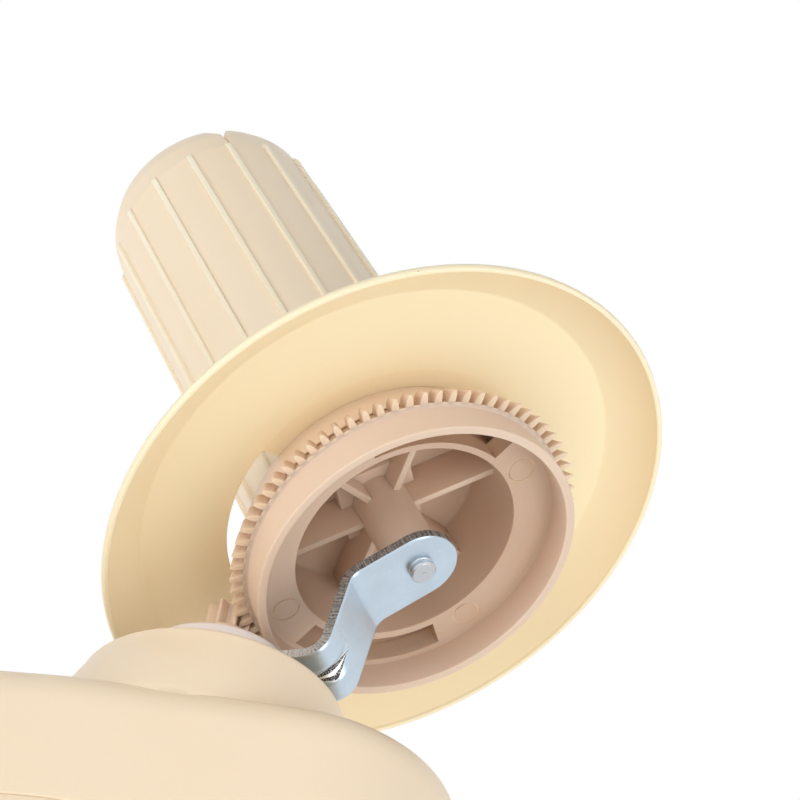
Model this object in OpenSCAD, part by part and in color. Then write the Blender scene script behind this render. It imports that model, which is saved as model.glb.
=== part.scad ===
// Hand yarn ball winder, table clamped. A crank under the body drives a rotor; the rotor carries
// a bent steel arm, and the arm carries a tilted spool. A ring gear on the spool rolls round a
// fixed sun pinion, so the spool turns slowly on its own axle while it is carried round.
// Millimetres, +Z up. The origin is the middle of the clamp seat, on the table top: the table
// lies below Z = 0, on the side of -X, and the body sticks out over its edge along +X.

/* [Body] */
// Width of the body round the rotor
body_w = 70.4; // [68:0.2:76]
// Width of the body at the clamp end
tail_w = 46; // [44:1:52]
// Height of the body, underside to top edge
body_h = 40.5; // [38:0.5:44]
// Height of the lower cover, under the parting line
cover_h = 7.5; // [6.5:0.1:8.5]
// Wall of both casings
wall = 2.4; // [2:0.1:2.6]
// Bevel round the body's bottom edge
edge_bevel = 2.2; // [1:0.1:2.4]
// How far the body's rounded top edge draws in
top_edge_in = 5; // [3:0.5:6]
// How far down the sides that rounding reaches
top_edge_drop = 9; // [5:0.5:11]
// Body past the rotor axis, on the free end
nose_len = 58.5; // [54:0.5:64]
// Body past the clamp screw, on the table side
tail_len = 26; // [24:0.5:32]
// Radius of the boss at its top
boss_r = 29.8; // [28:0.1:31]
// Height of the boss over the body's top edge
boss_h = 18.5; // [16.5:0.5:21]
// Radius of the boss at its foot
boss_foot_r = 33.4; // [32:0.1:34]
// How far the boss's foot is set towards the clamp
boss_foot_shift = 4.2; // [3:0.1:5]

/* [Clamp] */
// Clamp screw to crank axis
crank_x = 108; // [105:1:125]
// Width of the steel clamp bracket
clamp_w = 28; // [24:1:28]
// Thickness of the bracket's steel
clamp_t = 3; // [2.5:0.5:4]
// Depth of the throat, from the screw to the bracket's back
throat = 26; // [22:1:28]
// Widest opening under the seat
jaw = 45; // [40:1:50]
// Thickness of table that the clamp is set to
table_t = 25; // [20:1:28]
// Radius of the clamp screw
clamp_screw_r = 4; // [3.5:0.5:5]
// Thickness of the rubber seat
seat_t = 2; // [1.5:0.5:3]

/* [Crank] */
// Crank radius, shaft to knob
crank_r = 60; // [50:1:62]
// Thickness of the crank's flat bar
crank_t = 4; // [3:0.5:5]
// Width of the crank's flat bar
crank_w = 16; // [14:1:18]
// Length of the turning knob
knob_l = 48; // [40:1:60]
// Radius of the knob at its widest
knob_r = 12.5; // [10:0.5:13]
// Radius of the crank shaft
shaft_r = 4; // [3.5:0.25:4.5]
// Radius of the knob's pin
knob_pin_r = 3; // [2.5:0.25:3.5]

/* [Drive gears] */
// Module of the drive gears
drive_module = 1.25; // [1.2:0.01:1.25]
// Teeth of the drive gear on the crank shaft
drive_teeth = 46; // [44:2:46]
// Teeth of the rotor's pinion
rotor_teeth = 14; // [14:1:16]
// Face width of the drive gear
drive_face = 9; // [7:0.5:10]

/* [Rotor and arm] */
// Angle of the arm round the rotor axis, as it stands in the photograph
arm_turn = -20.8; // [-180:0.1:180]
// Radius of the white rotor hub
hub_r = 17.4; // [16:0.1:18]
// Thickness of the arm's steel strap
strap_t = 2.5; // [2:0.1:2.8]
// Width of the strap
strap_w = 17.6; // [15:0.2:18]
// Outer radius of the rotor's sleeve
sleeve_r = 6; // [5.5:0.1:6.4]
// Radius of the fixed spindle
spindle_r = 3; // [2.5:0.1:3.2]
// Radius of the spool's pin
spool_pin_r = 3; // [2.5:0.1:3.2]
// Length of the pin past the strap's outer face
pin_stub = 2; // [1:0.1:3]

/* [Spool] */
// Tilt of the spool's axis from the rotor's
tilt = 32.3; // [31.8:0.1:32.8]
// Radius of the flange's rim
rim_r = 67.7; // [60:0.1:70]
// Depth of the flange's dish
dish_depth = 8; // [6:0.5:9]
// Radius at which the dish bends
bend_r = 57; // [50:0.5:60]
// Thickness of the flange
flange_t = 1.8; // [1.4:0.1:2.4]
// Radius of the tube at the flange, between the ribs
tube_r = 28; // [27.6:0.1:29]
// Radius of the tube at its shoulder
shoulder_r = 25.7; // [25:0.1:27]
// Radius of the tube's open end
mouth_r = 22.9; // [22:0.1:24]
// Height of the shoulder over the rim
shoulder_h = 113; // [90:1:118]
// Height of the tube's end over the rim
tube_h = 123.3; // [100:0.1:130]
// Wall of the tube
tube_wall = 1.3; // [1.2:0.1:1.6]
// Number of ribs round the tube
rib_count = 16; // [8:1:20]
// Width of a rib
rib_w = 1.2; // [0.8:0.1:2]
// Height of a rib
rib_h = 0.8; // [0.5:0.1:1]

/* [Ring gear] */
// Module of the ring gear and its sun pinion
mesh_module = 1.125; // [1.1:0.005:1.15]
// Length of the ring's teeth
ring_face = 4.4; // [4:0.1:4.6]
// Front face of the teeth, below the rim
ring_drop = 9; // [8.8:0.1:9.2]
// Height of the lip in front of the teeth
lip_h = 8.5; // [7:0.1:9]

/* [Yarn guide] */
// Height of the guide's eye over the table
guide_h = 158; // [140:1:180]
// How far the guide's eye stands out from its post
guide_reach = 42; // [35:1:45]
// Radius of the guide's wire
guide_r = 1.6; // [1.5:0.1:2]
// Inner radius of the guide's eye
eye_r = 7; // [5:0.5:9]

/* [Hidden] */
$fn = 96;
hull_fn = 32;

// Gaps between the pieces
run_fit = 0.05;
side_gap = 0.3;
screw_gap = 0.2;
seam_gap = 0.1;

// Heights, from the table top
casing_z = seat_t + clamp_t;
parting_z = casing_z + cover_h;
top_z = casing_z + body_h;
boss_z = top_z + boss_h;
gear_z = parting_z + 4.5;
bore_rest = 3;
gear_hub_t = 1.5;
upper_bush_z = gear_z + drive_face + gear_hub_t + side_gap;
spindle_z = casing_z + 4.5;
shoulder_t = 1.5;
socket_z = gear_z + 8;

// Drive gears
drive_r = drive_module * drive_teeth / 2;
rotor_r = drive_module * rotor_teeth / 2;
rotor_x = crank_x + drive_r + rotor_r;
nose_x = rotor_x + nose_len;

// Rotor stack, from the boss up
hub_z = boss_z + side_gap;
hub_t = 4;
strap_z = hub_z + hub_t;
cap_z = strap_z + strap_t;
hub_cap_t = 3.6;
hub_top = cap_z + hub_cap_t;
rotor_top = hub_top - 1.2;

// Sun pinion and ring gear
ring_teeth = 72;
sun_teeth = 8;
ring_phase = 2.9;
sun_root_r = 2.8 * mesh_module;
sun_tip_r = 4.8 * mesh_module;
ring_tip_r = (ring_teeth / 2 + 0.98) * mesh_module;
ring_tooth_h = 2.48 * mesh_module;
ring_root_r = ring_tip_r - ring_tooth_h / cos(tilt);
mesh_gap = 0.4 * mesh_module;
collar_z = hub_top + side_gap;
collar_top = collar_z + 8;
sun_face = 6.8;
sun_top = collar_top + sun_face;
sun_bore_r = 2;
ring_front_gap = 0.8;
tip_x = sun_root_r + mesh_gap;
tip_z = collar_top + ring_front_gap;
spool_x = tip_x - ring_drop * sin(tilt) + ring_tip_r * cos(tilt);
spool_z = tip_z + ring_drop * cos(tilt) + ring_tip_r * sin(tilt);

// Gear core, measured along the spool's axis from the rim
core_front = -ring_drop;
core_back = core_front + ring_face * cos(tilt);
lip_z = core_front - lip_h;
core_wall = 1.5;
core_bore_r = ring_root_r - 12.1;
core_floor = core_front - 1;
seat_r = tube_r - tube_wall;
core_end = 10.5;
core_end_t = 2;
cup_end_r = seat_r - core_wall + 0.2;
core_axis_dir = 10;
web_t = 1.6;
web_z = 0;
fin_dirs = [58, 122, 238, 302];
fin_z = 1;
plinth_w = 18;
plinth_z = 6.4;
pocket_dirs = [96, 277];
pocket_span = 65;
seat_z = 11;
column_r = spool_pin_r + 3.3;
neck_r = ring_root_r - 5.7;
neck_top = 4.5;
hole_r = ring_root_r - 1.2;
land_edge_r = ring_root_r - 2.9;
strap_gap = 0.5;
strap_out = lip_z - 1.5;
strap_in = strap_out + strap_t;
column_z = strap_in + strap_gap;

// Strap of the arm, in the upright plane through both axes
strap_leg_x = 28.4;
strap_lean = 7.5;
strap_end_r = strap_w / 2;
strap_bend_r = 4;
hub_screw_x = 10.5;
hub_screw_r = 1.5;

// Screws of the casings: places along the body and off its middle
casing_screws = [[0, 17.6], [0, -17.6], [crank_x - 52, 20], [crank_x - 52, -20],
    [rotor_x + 23, 21], [rotor_x + 23, -21], [rotor_x + 44, 0]];
screw_r = 1.5;
screw_head_r = 3;
screw_boss_r = 4;
bracket_screw_xs = [-12, 15];
guide_x = 32;

// The body from above: a round nose, straight sides, then a taper to the round tail
half_w = body_w / 2;
tail_r = tail_w / 2;
nose_cx = nose_x - half_w;
tail_cx = tail_r - tail_len;
taper_cx = rotor_x - 25;
taper = asin((half_w - tail_r) / (taper_cx - tail_cx));

// That outline at one height, drawn in by a given amount, as corners of a flat polygon
function arc_at(cx, r, from, to, z, n) =
    [for (i = [0:n]) let (t = from + (to - from) * i / n) [cx + r * cos(t), r * sin(t), z]];
function outline_at(inset, z) = concat(
    arc_at(nose_cx, half_w - inset, -90, 90, z, 32),
    arc_at(taper_cx, half_w - inset, 90, 90 + taper, z, 2),
    arc_at(tail_cx, tail_r - inset, 90 + taper, 270 - taper, z, 24),
    arc_at(taper_cx, half_w - inset, 270 - taper, 270, z, 2));

// Solid block of the body between two heights, with a bevel at its lower edge and, where it is
// wanted, the rounded top edge
module body_block(z0, z1, inset, low, round_top = false) {
    levels = concat(low > 0 ? [[inset + low, z0], [inset, z0 + low]] : [[inset, z0]],
        round_top ? [for (t = [0:15:90])
            [inset + top_edge_in * (1 - cos(t)), z1 - top_edge_drop * (1 - sin(t))]] : [[inset, z1]]);
    m = len(outline_at(0, 0));
    n = len(levels);
    polyhedron(
        points = [for (l = levels) each outline_at(l[0], l[1])],
        faces = concat([[for (i = [0:m - 1]) i]], [[for (i = [m - 1:-1:0]) m * (n - 1) + i]],
            [for (k = [0:n - 2]) for (i = [0:m - 1])
                [m * k + i, m * k + m + i, m * k + m + (i + 1) % m, m * k + (i + 1) % m]]));
}

// Boss round the rotor, a round top on a larger foot that is set towards the clamp
boss_sink = 6;
module boss_shape(inset, z_top) {
    edge = 1.6;
    hull() {
        translate([rotor_x, 0, z_top - edge])
            cylinder(r1 = boss_r - inset, r2 = boss_r - inset - edge, h = edge, $fn = 48);
        translate([rotor_x - boss_foot_shift, 0, top_z - boss_sink])
            cylinder(r = boss_foot_r - inset, h = boss_sink, $fn = 48);
    }
}

module at_casing_screws(z) {
    for (p = casing_screws) translate([p[0], p[1], z]) children();
}

module at_rotor() { translate([rotor_x, 0, 0]) rotate([0, 0, arm_turn]) children(); }

// Frame of the spool: its origin is the middle of the rim, +Z runs up the spool's axis
module at_spool() {
    at_rotor() translate([spool_x, 0, spool_z]) rotate([0, -tilt, 0]) children();
}

// Upper casing: walls, boss, screw posts and the seats of the upper bushes
module housing_upper() {
    post_z = parting_z;
    color("bisque") difference() {
        union() {
            difference() {
                union() {
                    body_block(parting_z, top_z, 0, 0, true);
                    boss_shape(0, boss_z);
                }
                body_block(parting_z - 1, top_z - wall, wall, 0, true);
                boss_shape(wall, boss_z - wall);
            }
            intersection() {
                at_casing_screws(post_z) cylinder(r = screw_boss_r, h = top_z - wall - post_z + 0.5);
                body_block(parting_z - 1, top_z, wall / 2, 0, true);
            }
            translate([crank_x, 0, upper_bush_z])
                cylinder(r = shaft_r + 5, h = top_z - wall + 0.5 - upper_bush_z);
            translate([rotor_x, 0, boss_z - 14]) cylinder(r = sleeve_r + 5, h = 14 - wall + 0.5);
            translate([guide_x, 0, socket_z]) cylinder(r = 7, h = top_z - wall + 0.5 - socket_z);
        }
        at_casing_screws(post_z - 1) cylinder(r = screw_r, h = 15);
        translate([crank_x, 0, gear_z]) cylinder(r = shaft_r + 2, h = top_z - bore_rest - gear_z);
        translate([rotor_x, 0, boss_z - 20]) cylinder(r = sleeve_r + 2, h = 30);
        translate([guide_x, 0, socket_z - 1]) cylinder(r = 5, h = 40);
    }
}

// Lower casing: flat cover with the lower bush seats, the spindle's foot and the screw holes
module housing_lower() {
    cover_t = wall + 0.4;
    color("antiquewhite") difference() {
        union() {
            difference() {
                body_block(casing_z, parting_z - seam_gap, 0, edge_bevel);
                body_block(casing_z + cover_t, parting_z + 1, wall, 0);
            }
            at_casing_screws(casing_z + 1)
                cylinder(r = screw_boss_r, h = parting_z - seam_gap - casing_z - 1);
            translate([crank_x, 0, casing_z + 0.5]) cylinder(r = shaft_r + 5, h = gear_z - casing_z - 1.8);
            translate([rotor_x, 0, casing_z + 0.5]) cylinder(r = sleeve_r + 5, h = gear_z - casing_z - 1.8);
            for (x = bracket_screw_xs) translate([x, 0, casing_z + 1])
                cylinder(r = 5, h = parting_z - casing_z - 1);
        }
        at_casing_screws(casing_z - 1) cylinder(r = screw_r + screw_gap, h = 20);
        at_casing_screws(casing_z - 1) cylinder(r = screw_head_r + screw_gap, h = 3.5);
        translate([crank_x, 0, casing_z - 1]) cylinder(r = shaft_r + 2, h = 30);
        translate([rotor_x, 0, spindle_z]) cylinder(r = sleeve_r + 2, h = 30);
        translate([rotor_x, 0, casing_z - 1]) cylinder(r = spindle_r, h = 30);
        translate([rotor_x, 0, casing_z - 1]) cylinder(r = 7, h = 4);
        for (x = bracket_screw_xs) translate([x, 0, casing_z - 1]) cylinder(r = screw_r, h = 6.5);
    }
}

// Pan head screw with its head at Z = 0 and its thread upwards
module screw_up(len, head_h = 2) {
    cylinder(r = screw_head_r, h = head_h);
    translate([0, 0, head_h - 0.1]) cylinder(r = screw_r, h = len - head_h + 0.1);
}

casing_screw_l = 18;
module housing_screws() {
    color("silver") at_casing_screws(casing_z + 0.5) difference() {
        screw_up(casing_screw_l);
        translate([-2, -0.3, -0.5]) cube([4, 0.6, 1.1]);
        translate([-0.3, -2, -0.5]) cube([0.6, 4, 1.1]);
    }
}

// Steel C bracket of the clamp, its back towards the crank
module clamp_bracket() {
    back_x = throat + clamp_t;
    low_z = -jaw - clamp_t;
    color("lightsteelblue") difference() {
        union() {
            translate([-clamp_w / 2 - 4, -clamp_w / 2, seat_t])
                cube([back_x + clamp_w / 2 + 4, clamp_w, clamp_t]);
            translate([throat, -clamp_w / 2, low_z]) cube([clamp_t, clamp_w, casing_z - low_z]);
            translate([-clamp_w / 2 + 1, -clamp_w / 2, low_z])
                cube([back_x + clamp_w / 2 - 1, clamp_w, clamp_t]);
        }
        for (x = bracket_screw_xs) translate([x, 0, seat_t - 1]) {
            cylinder(r = screw_r + screw_gap, h = clamp_t + 2);
            cylinder(r = screw_head_r + screw_gap, h = 1 + 1.8);
        }
        translate([0, 0, low_z - 1]) cylinder(r = clamp_screw_r + 2, h = clamp_t + 2);
    }
}

module bracket_screws() {
    color("silver") for (x = bracket_screw_xs) translate([x, 0, seat_t + 0.1]) difference() {
        screw_up(8, 1.6);
        translate([-2, -0.3, -0.5]) cube([4, 0.6, 1.1]);
    }
}

// Rubber seat between the bracket and the table top
module seat_pad() {
    color("dimgray") difference() {
        translate([-clamp_w / 2 - 4, -clamp_w / 2, 0]) cube([throat + clamp_w / 2 + 4 - 1, clamp_w, seat_t]);
        for (x = bracket_screw_xs) translate([x, 0, -1])
            cylinder(r = screw_head_r + 0.5, h = seat_t + 2);
    }
}

// Threaded bush in the bracket's lower jaw
module clamp_nut() {
    low_z = -jaw - clamp_t;
    color("gainsboro") difference() {
        union() {
            translate([0, 0, low_z - 5]) cylinder(r = 9, h = 5);
            translate([0, 0, low_z - 0.1]) cylinder(r = clamp_screw_r + 1.95, h = clamp_t + 0.1);
        }
        translate([0, 0, low_z - 10]) cylinder(r = clamp_screw_r + 0.2, h = 20);
    }
}

// Clamp screw, its knob and the foot that it presses on the table from below
foot_t = 4;
screw_tip = -table_t - foot_t;
clamp_screw_l = jaw + 30;
module clamp_screw() {
    color("silver") {
        translate([0, 0, screw_tip - clamp_screw_l]) cylinder(r = clamp_screw_r, h = clamp_screw_l);
        translate([0, 0, screw_tip - 0.1]) cylinder(r = 2, h = 2.6);
    }
}

clamp_knob_r = 13.5;
module clamp_knob() {
    knob_h = 16;
    base_z = screw_tip - clamp_screw_l - 3;
    color("wheat") translate([0, 0, base_z]) difference() {
        union() {
            cylinder(r = clamp_knob_r, h = knob_h);
            for (i = [0:5]) rotate([0, 0, 60 * i]) translate([clamp_knob_r - 0.5, 0, 0])
                cylinder(r = 4, h = knob_h);
        }
        translate([0, 0, 3]) cylinder(r = clamp_screw_r, h = knob_h);
    }
}

module clamp_foot() {
    color("dimgray") translate([0, 0, screw_tip]) difference() {
        cylinder(r = 11, h = foot_t);
        translate([0, 0, -1]) cylinder(r = 2 + run_fit, h = 1 + 2.8);
    }
}

// Tooth of a spur gear with straight flanks, along +X; both widths are across the tooth
module spur_tooth(root_r, tip_r, root_w, tip_w) {
    corner = tip_w * 0.25;
    polygon([[root_r - 1, -root_w / 2], [root_r, -root_w / 2], [tip_r - corner, -tip_w / 2],
        [tip_r, -tip_w / 2 + corner], [tip_r, tip_w / 2 - corner], [tip_r - corner, tip_w / 2],
        [root_r, root_w / 2], [root_r - 1, root_w / 2]]);
}

// Spur gear outline with straight flanks
module spur_outline(teeth, pitch_r, module_size, phase, add, ded, thick) {
    root_r = pitch_r - ded * module_size;
    tip_r = pitch_r + add * module_size;
    union() {
        circle(r = root_r);
        for (i = [0:teeth - 1]) rotate(phase + 360 * i / teeth)
            spur_tooth(root_r, tip_r, thick * 1.55 * module_size, thick * 0.62 * module_size);
    }
}

drive_thick = 1.22;
// A gap of the drive gear faces the rotor; a tooth of the rotor's pinion stands in it
module drive_gear() {
    hub_h = 5;
    color("ivory") translate([crank_x, 0, gear_z]) difference() {
        union() {
            linear_extrude(drive_face)
                spur_outline(drive_teeth, drive_r, drive_module, 180 / drive_teeth, 0.95, 1.15, drive_thick);
            cylinder(r = shaft_r + 5, h = drive_face + gear_hub_t);
        }
        translate([0, 0, -1]) cylinder(r = shaft_r, h = 30);
        translate([0, 0, drive_face - 2.5]) difference() {
            cylinder(r = drive_r - 4.5, h = 10);
            translate([0, 0, -1]) cylinder(r = shaft_r + 5, h = 12);
            for (i = [0:5]) rotate([0, 0, 60 * i]) translate([0, -1, -1]) cube([drive_r, 2, 12]);
        }
    }
}

// Rotor shaft: pinion and hollow sleeve in one piece, running on the fixed spindle
sleeve_z = spindle_z + shoulder_t + side_gap;
module rotor_shaft() {
    color("white") at_rotor() difference() {
        union() {
            translate([0, 0, sleeve_z]) cylinder(r = sleeve_r, h = rotor_top - sleeve_z);
            translate([0, 0, gear_z - 0.5]) rotate([0, 0, -arm_turn]) linear_extrude(drive_face + 1)
                spur_outline(rotor_teeth, rotor_r, drive_module, 180, 0.95, 1.15, drive_thick);
        }
        translate([0, 0, sleeve_z - 1]) cylinder(r = spindle_r + run_fit, h = rotor_top);
        translate([0, 0, hub_z]) difference() {
            cylinder(r = sleeve_r + 1, h = 30);
            translate([-sleeve_r - 2, -sleeve_r + 1.2, -1]) cube([2 * sleeve_r + 4, 2 * sleeve_r - 2.4, 40]);
        }
    }
}

module plain_bush(inner_r, outer_r, len) {
    difference() {
        cylinder(r = outer_r, h = len);
        translate([0, 0, -1]) cylinder(r = inner_r, h = len + 2);
    }
}

module rotor_bush_lower() {
    color("goldenrod") translate([rotor_x, 0, spindle_z])
        plain_bush(sleeve_r + run_fit, sleeve_r + 2, gear_z - 0.8 - spindle_z);
}

module rotor_bush_upper() {
    color("goldenrod") translate([rotor_x, 0, boss_z - 14]) plain_bush(sleeve_r + run_fit, sleeve_r + 2, 14);
}

module crank_bush_lower() {
    color("goldenrod") translate([crank_x, 0, casing_z]) {
        plain_bush(shaft_r + run_fit, shaft_r + 2, gear_z - casing_z - side_gap);
        translate([0, 0, -1.4]) plain_bush(shaft_r + run_fit, shaft_r + 4.5, 1.4);
    }
}

module crank_bush_upper() {
    color("goldenrod") translate([crank_x, 0, upper_bush_z])
        plain_bush(shaft_r + run_fit, shaft_r + 2, top_z - bore_rest - upper_bush_z);
}

// Crank: steel shaft with a squared end, flat bar, nut and the knob's pin
bar_z = -5;
square_w = 1.35 * shaft_r;
nut_h = 4.5;
module crank_shaft() {
    color("silver") translate([crank_x, 0, 0]) {
        translate([0, 0, bar_z + crank_t + 0.2])
            cylinder(r = shaft_r, h = top_z - bore_rest - 0.5 - bar_z - crank_t - 0.2);
        translate([-square_w / 2, -square_w / 2, bar_z]) cube([square_w, square_w, crank_t + 0.3]);
        translate([0, 0, bar_z - nut_h - 1]) cylinder(r = square_w / 2, h = nut_h + 1.1);
    }
}

crank_dir = 180;
module at_crank() { translate([crank_x, 0, 0]) rotate([0, 0, crank_dir]) children(); }

module crank_arm() {
    color("lightsteelblue") at_crank() difference() {
        union() {
            translate([0, 0, bar_z]) cylinder(r = crank_w / 2 + 1, h = crank_t);
            translate([crank_r, 0, bar_z]) cylinder(r = crank_w / 2 - 1, h = crank_t);
            translate([0, -crank_w / 2 + 1.5, bar_z]) cube([crank_r, crank_w - 3, crank_t]);
        }
        rotate([0, 0, -crank_dir]) translate([-square_w / 2, -square_w / 2, bar_z - 1])
            cube([square_w, square_w, crank_t + 2]);
        translate([crank_r, 0, bar_z - 1]) cylinder(r = knob_pin_r - 0.5, h = crank_t + 2);
    }
}

module crank_nut() {
    color("silver") translate([crank_x, 0, bar_z - nut_h]) difference() {
        cylinder(r = 5.5, h = nut_h, $fn = 6);
        translate([0, 0, -1]) cylinder(r = square_w / 2, h = nut_h + 2);
    }
}

// Steel pin riveted in the bar; the knob turns on it and a screw holds the knob
knob_top = bar_z - 0.6;
module knob_pin() {
    color("silver") at_crank() translate([crank_r, 0, 0]) difference() {
        union() {
            translate([0, 0, bar_z - 0.1]) cylinder(r = knob_pin_r - 0.5, h = crank_t + 0.1);
            translate([0, 0, bar_z + crank_t - 0.1]) cylinder(r = knob_pin_r - 0.5, h = 0.2);
            translate([0, 0, knob_top - knob_l + 4]) cylinder(r = knob_pin_r, h = knob_l - 4 + 0.6);
        }
        translate([0, 0, knob_top - knob_l]) cylinder(r = 1.25, h = 14);
    }
}

module crank_knob() {
    waist = knob_r * 0.72;
    color("burlywood") at_crank() translate([crank_r, 0, knob_top - knob_l]) rotate_extrude()
        polygon([[knob_pin_r + run_fit, 4.3], [4.2, 4.3], [4.2, 0], [knob_r * 0.8, 0],
            [knob_r * 0.94, 1.2], [knob_r, 4.5], [knob_r, knob_l * 0.3], [knob_r * 0.93, knob_l * 0.5],
            [waist, knob_l * 0.82], [waist * 0.97, knob_l * 0.92], [waist * 1.06, knob_l - 1],
            [waist, knob_l], [knob_pin_r + run_fit, knob_l]]);
}

module knob_screw() {
    color("silver") at_crank() translate([crank_r, 0, knob_top - knob_l + 2]) difference() {
        union() {
            cylinder(r = 3.9, h = 2);
            translate([0, 0, 1.9]) cylinder(r = 1.25, h = 10);
        }
        translate([-3, -0.35, -0.5]) cube([6, 0.7, 1.2]);
    }
}

// Fixed spindle: held by a nut under the cover, it runs up through the rotor
module sun_spindle() {
    color("silver") translate([rotor_x, 0, 0]) {
        translate([0, 0, casing_z + 0.3]) cylinder(r = spindle_r, h = collar_z - casing_z - 0.3);
        translate([0, 0, spindle_z]) cylinder(r = spindle_r + 1.8, h = shoulder_t);
        translate([0, 0, collar_z - 0.5]) cylinder(r = sun_bore_r, h = sun_top + 0.3 - collar_z + 0.5);
    }
}

module spindle_nut() {
    color("silver") translate([rotor_x, 0, casing_z]) difference() {
        cylinder(r = 5.4, h = 3, $fn = 6);
        translate([0, 0, -1]) cylinder(r = spindle_r, h = 6);
    }
}

// Sun pinion on the spindle's top, with its collar below the teeth
sun_phase = 180 - ring_phase * ring_teeth / sun_teeth + 180 / sun_teeth;
module sun_pinion() {
    color("tan") at_rotor() difference() {
        union() {
            translate([0, 0, collar_z]) cylinder(r = sun_tip_r + 0.2, h = collar_top - collar_z);
            translate([0, 0, collar_top - 0.1]) linear_extrude(sun_face + 0.1) union() {
                circle(r = sun_root_r);
                for (i = [0:sun_teeth - 1]) rotate(sun_phase + 180 + 360 * i / sun_teeth)
                    spur_tooth(sun_root_r, sun_tip_r, 1.55 * mesh_module, 0.66 * mesh_module);
            }
        }
        translate([0, 0, collar_z - 1]) cylinder(r = sun_bore_r, h = 40);
    }
}

// White hub: a disc under the strap and a cap over it, screwed together through the strap
module rotor_hub() {
    color("whitesmoke") at_rotor() difference() {
        translate([0, 0, hub_z]) cylinder(r = hub_r, h = hub_t);
        sleeve_flats(hub_z - 1, hub_t + 2);
        for (s = [-1, 1]) translate([hub_screw_x * s, 0, hub_z - 1]) cylinder(r = hub_screw_r, h = 20);
    }
}

// Hole for the sleeve's flatted end
module sleeve_flats(z, h) {
    intersection() {
        translate([0, 0, z]) cylinder(r = sleeve_r, h = h);
        translate([-sleeve_r - 1, -sleeve_r + 1.2, z - 1])
            cube([2 * sleeve_r + 2, 2 * sleeve_r - 2.4, h + 2]);
    }
}

module hub_cap() {
    color("white") at_rotor() difference() {
        translate([0, 0, strap_z]) cylinder(r = hub_r, h = hub_top - strap_z);
        translate([-strap_end_r - 0.2, -strap_w / 2 - 0.2, strap_z - 1])
            cube([40, strap_w + 0.4, strap_t + 1]);
        sleeve_flats(cap_z - 1, rotor_top - cap_z + 1);
        translate([0, 0, cap_z]) cylinder(r = spindle_r + 0.5, h = 10);
        for (s = [-1, 1]) translate([hub_screw_x * s, 0, strap_z - 1]) {
            cylinder(r = hub_screw_r + screw_gap, h = 20);
            translate([0, 0, hub_top - strap_z - 1]) cylinder(r = 2.8, h = 20);
        }
    }
}

module hub_screws() {
    color("silver") at_rotor() for (s = [-1, 1]) translate([hub_screw_x * s, 0, hub_z + 0.5]) difference() {
        union() {
            cylinder(r = hub_screw_r, h = cap_z + hub_cap_t - 2 - hub_z - 0.5 + 0.1);
            translate([0, 0, cap_z + hub_cap_t - 2 - hub_z - 0.5]) cylinder(r = 2.6, h = 1.8);
        }
        translate([-2, -0.3, cap_z + hub_cap_t - 1.2 - hub_z]) cube([4, 0.6, 2]);
    }
}

// Centre line of the strap: the pin's end, the two bends and the hub
pin_leg_x = spool_x - (strap_out + strap_in) / 2 * sin(tilt);
pin_leg_z = spool_z + (strap_out + strap_in) / 2 * cos(tilt);
low_leg_z = strap_z + strap_t / 2;
lean_dx = tan(strap_lean);
upper_z = (pin_leg_z - pin_leg_x * tan(tilt) + strap_leg_x * tan(tilt) - low_leg_z * lean_dx * tan(tilt))
    / (1 - lean_dx * tan(tilt));
upper_x = strap_leg_x + (upper_z - low_leg_z) * lean_dx;
lower_x = strap_leg_x;
lower_z = low_leg_z;

// Round bend of the strap between two directions, drawn in the plane of the legs
module bend_ring(mid_r) {
    difference() {
        circle(r = mid_r + strap_t / 2);
        circle(r = mid_r - strap_t / 2);
    }
}

// A leg of the strap: a bar along the line between two points, shortened at both ends
module leg(p, q, cut_p, cut_q) {
    d = q - p;
    len = norm(d);
    translate(p) rotate(atan2(d[1], d[0])) translate([cut_p, -strap_t / 2])
        square([len - cut_p - cut_q, strap_t]);
}

// Corner between two legs, rounded at a middle radius: a sector of a ring
module corner(before, at, after, mid_r) {
    u = (before - at) / norm(before - at);
    v = (after - at) / norm(after - at);
    half = acos(u * v) / 2;
    mid = (u + v) / norm(u + v);
    centre = at + mid * mid_r / sin(half);
    reach = mid_r / tan(half);
    p = at + u * reach;
    q = at + v * reach;
    pp = centre + (p - centre) * 2;
    qq = centre + (q - centre) * 2;
    intersection() {
        translate(centre) bend_ring(mid_r);
        polygon([centre, pp, centre - mid * mid_r * 3, qq]);
    }
}

// Arm: steel strap bent twice, one end on the hub and the other on the spool's pin
module arm_strap() {
    far = [pin_leg_x, pin_leg_z];
    up = [upper_x, upper_z];
    low = [lower_x, lower_z];
    near = [0, lower_z];
    mid_r = strap_bend_r + strap_t / 2;
    half_up = acos(((far - up) * (low - up)) / norm(far - up) / norm(low - up)) / 2;
    half_low = acos(((up - low) * (near - low)) / norm(up - low) / norm(near - low)) / 2;
    reach_up = mid_r / tan(half_up);
    reach_low = mid_r / tan(half_low);
    color("lightsteelblue") at_rotor() difference() {
        union() {
            rotate([90, 0, 0]) translate([0, 0, -strap_w / 2]) linear_extrude(strap_w) union() {
                leg(far, up, 0, reach_up - 0.01);
                leg(up, low, reach_up - 0.01, reach_low - 0.01);
                leg(low, near, reach_low - 0.01, 0);
                corner(far, up, low, mid_r);
                corner(up, low, near, mid_r);
            }
            translate([0, 0, strap_z]) cylinder(r = strap_end_r, h = strap_t);
            translate([spool_x, 0, spool_z]) rotate([0, -tilt, 0]) translate([0, 0, strap_out])
                cylinder(r = strap_end_r, h = strap_t);
        }
        sleeve_flats(strap_z - 1, strap_t + 2);
        for (s = [-1, 1]) translate([hub_screw_x * s, 0, strap_z - 1])
            cylinder(r = hub_screw_r + screw_gap, h = strap_t + 2);
        translate([spool_x, 0, spool_z]) rotate([0, -tilt, 0]) translate([0, 0, strap_out - 1])
            cylinder(r = spool_pin_r, h = strap_t + 2);
    }
}

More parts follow.
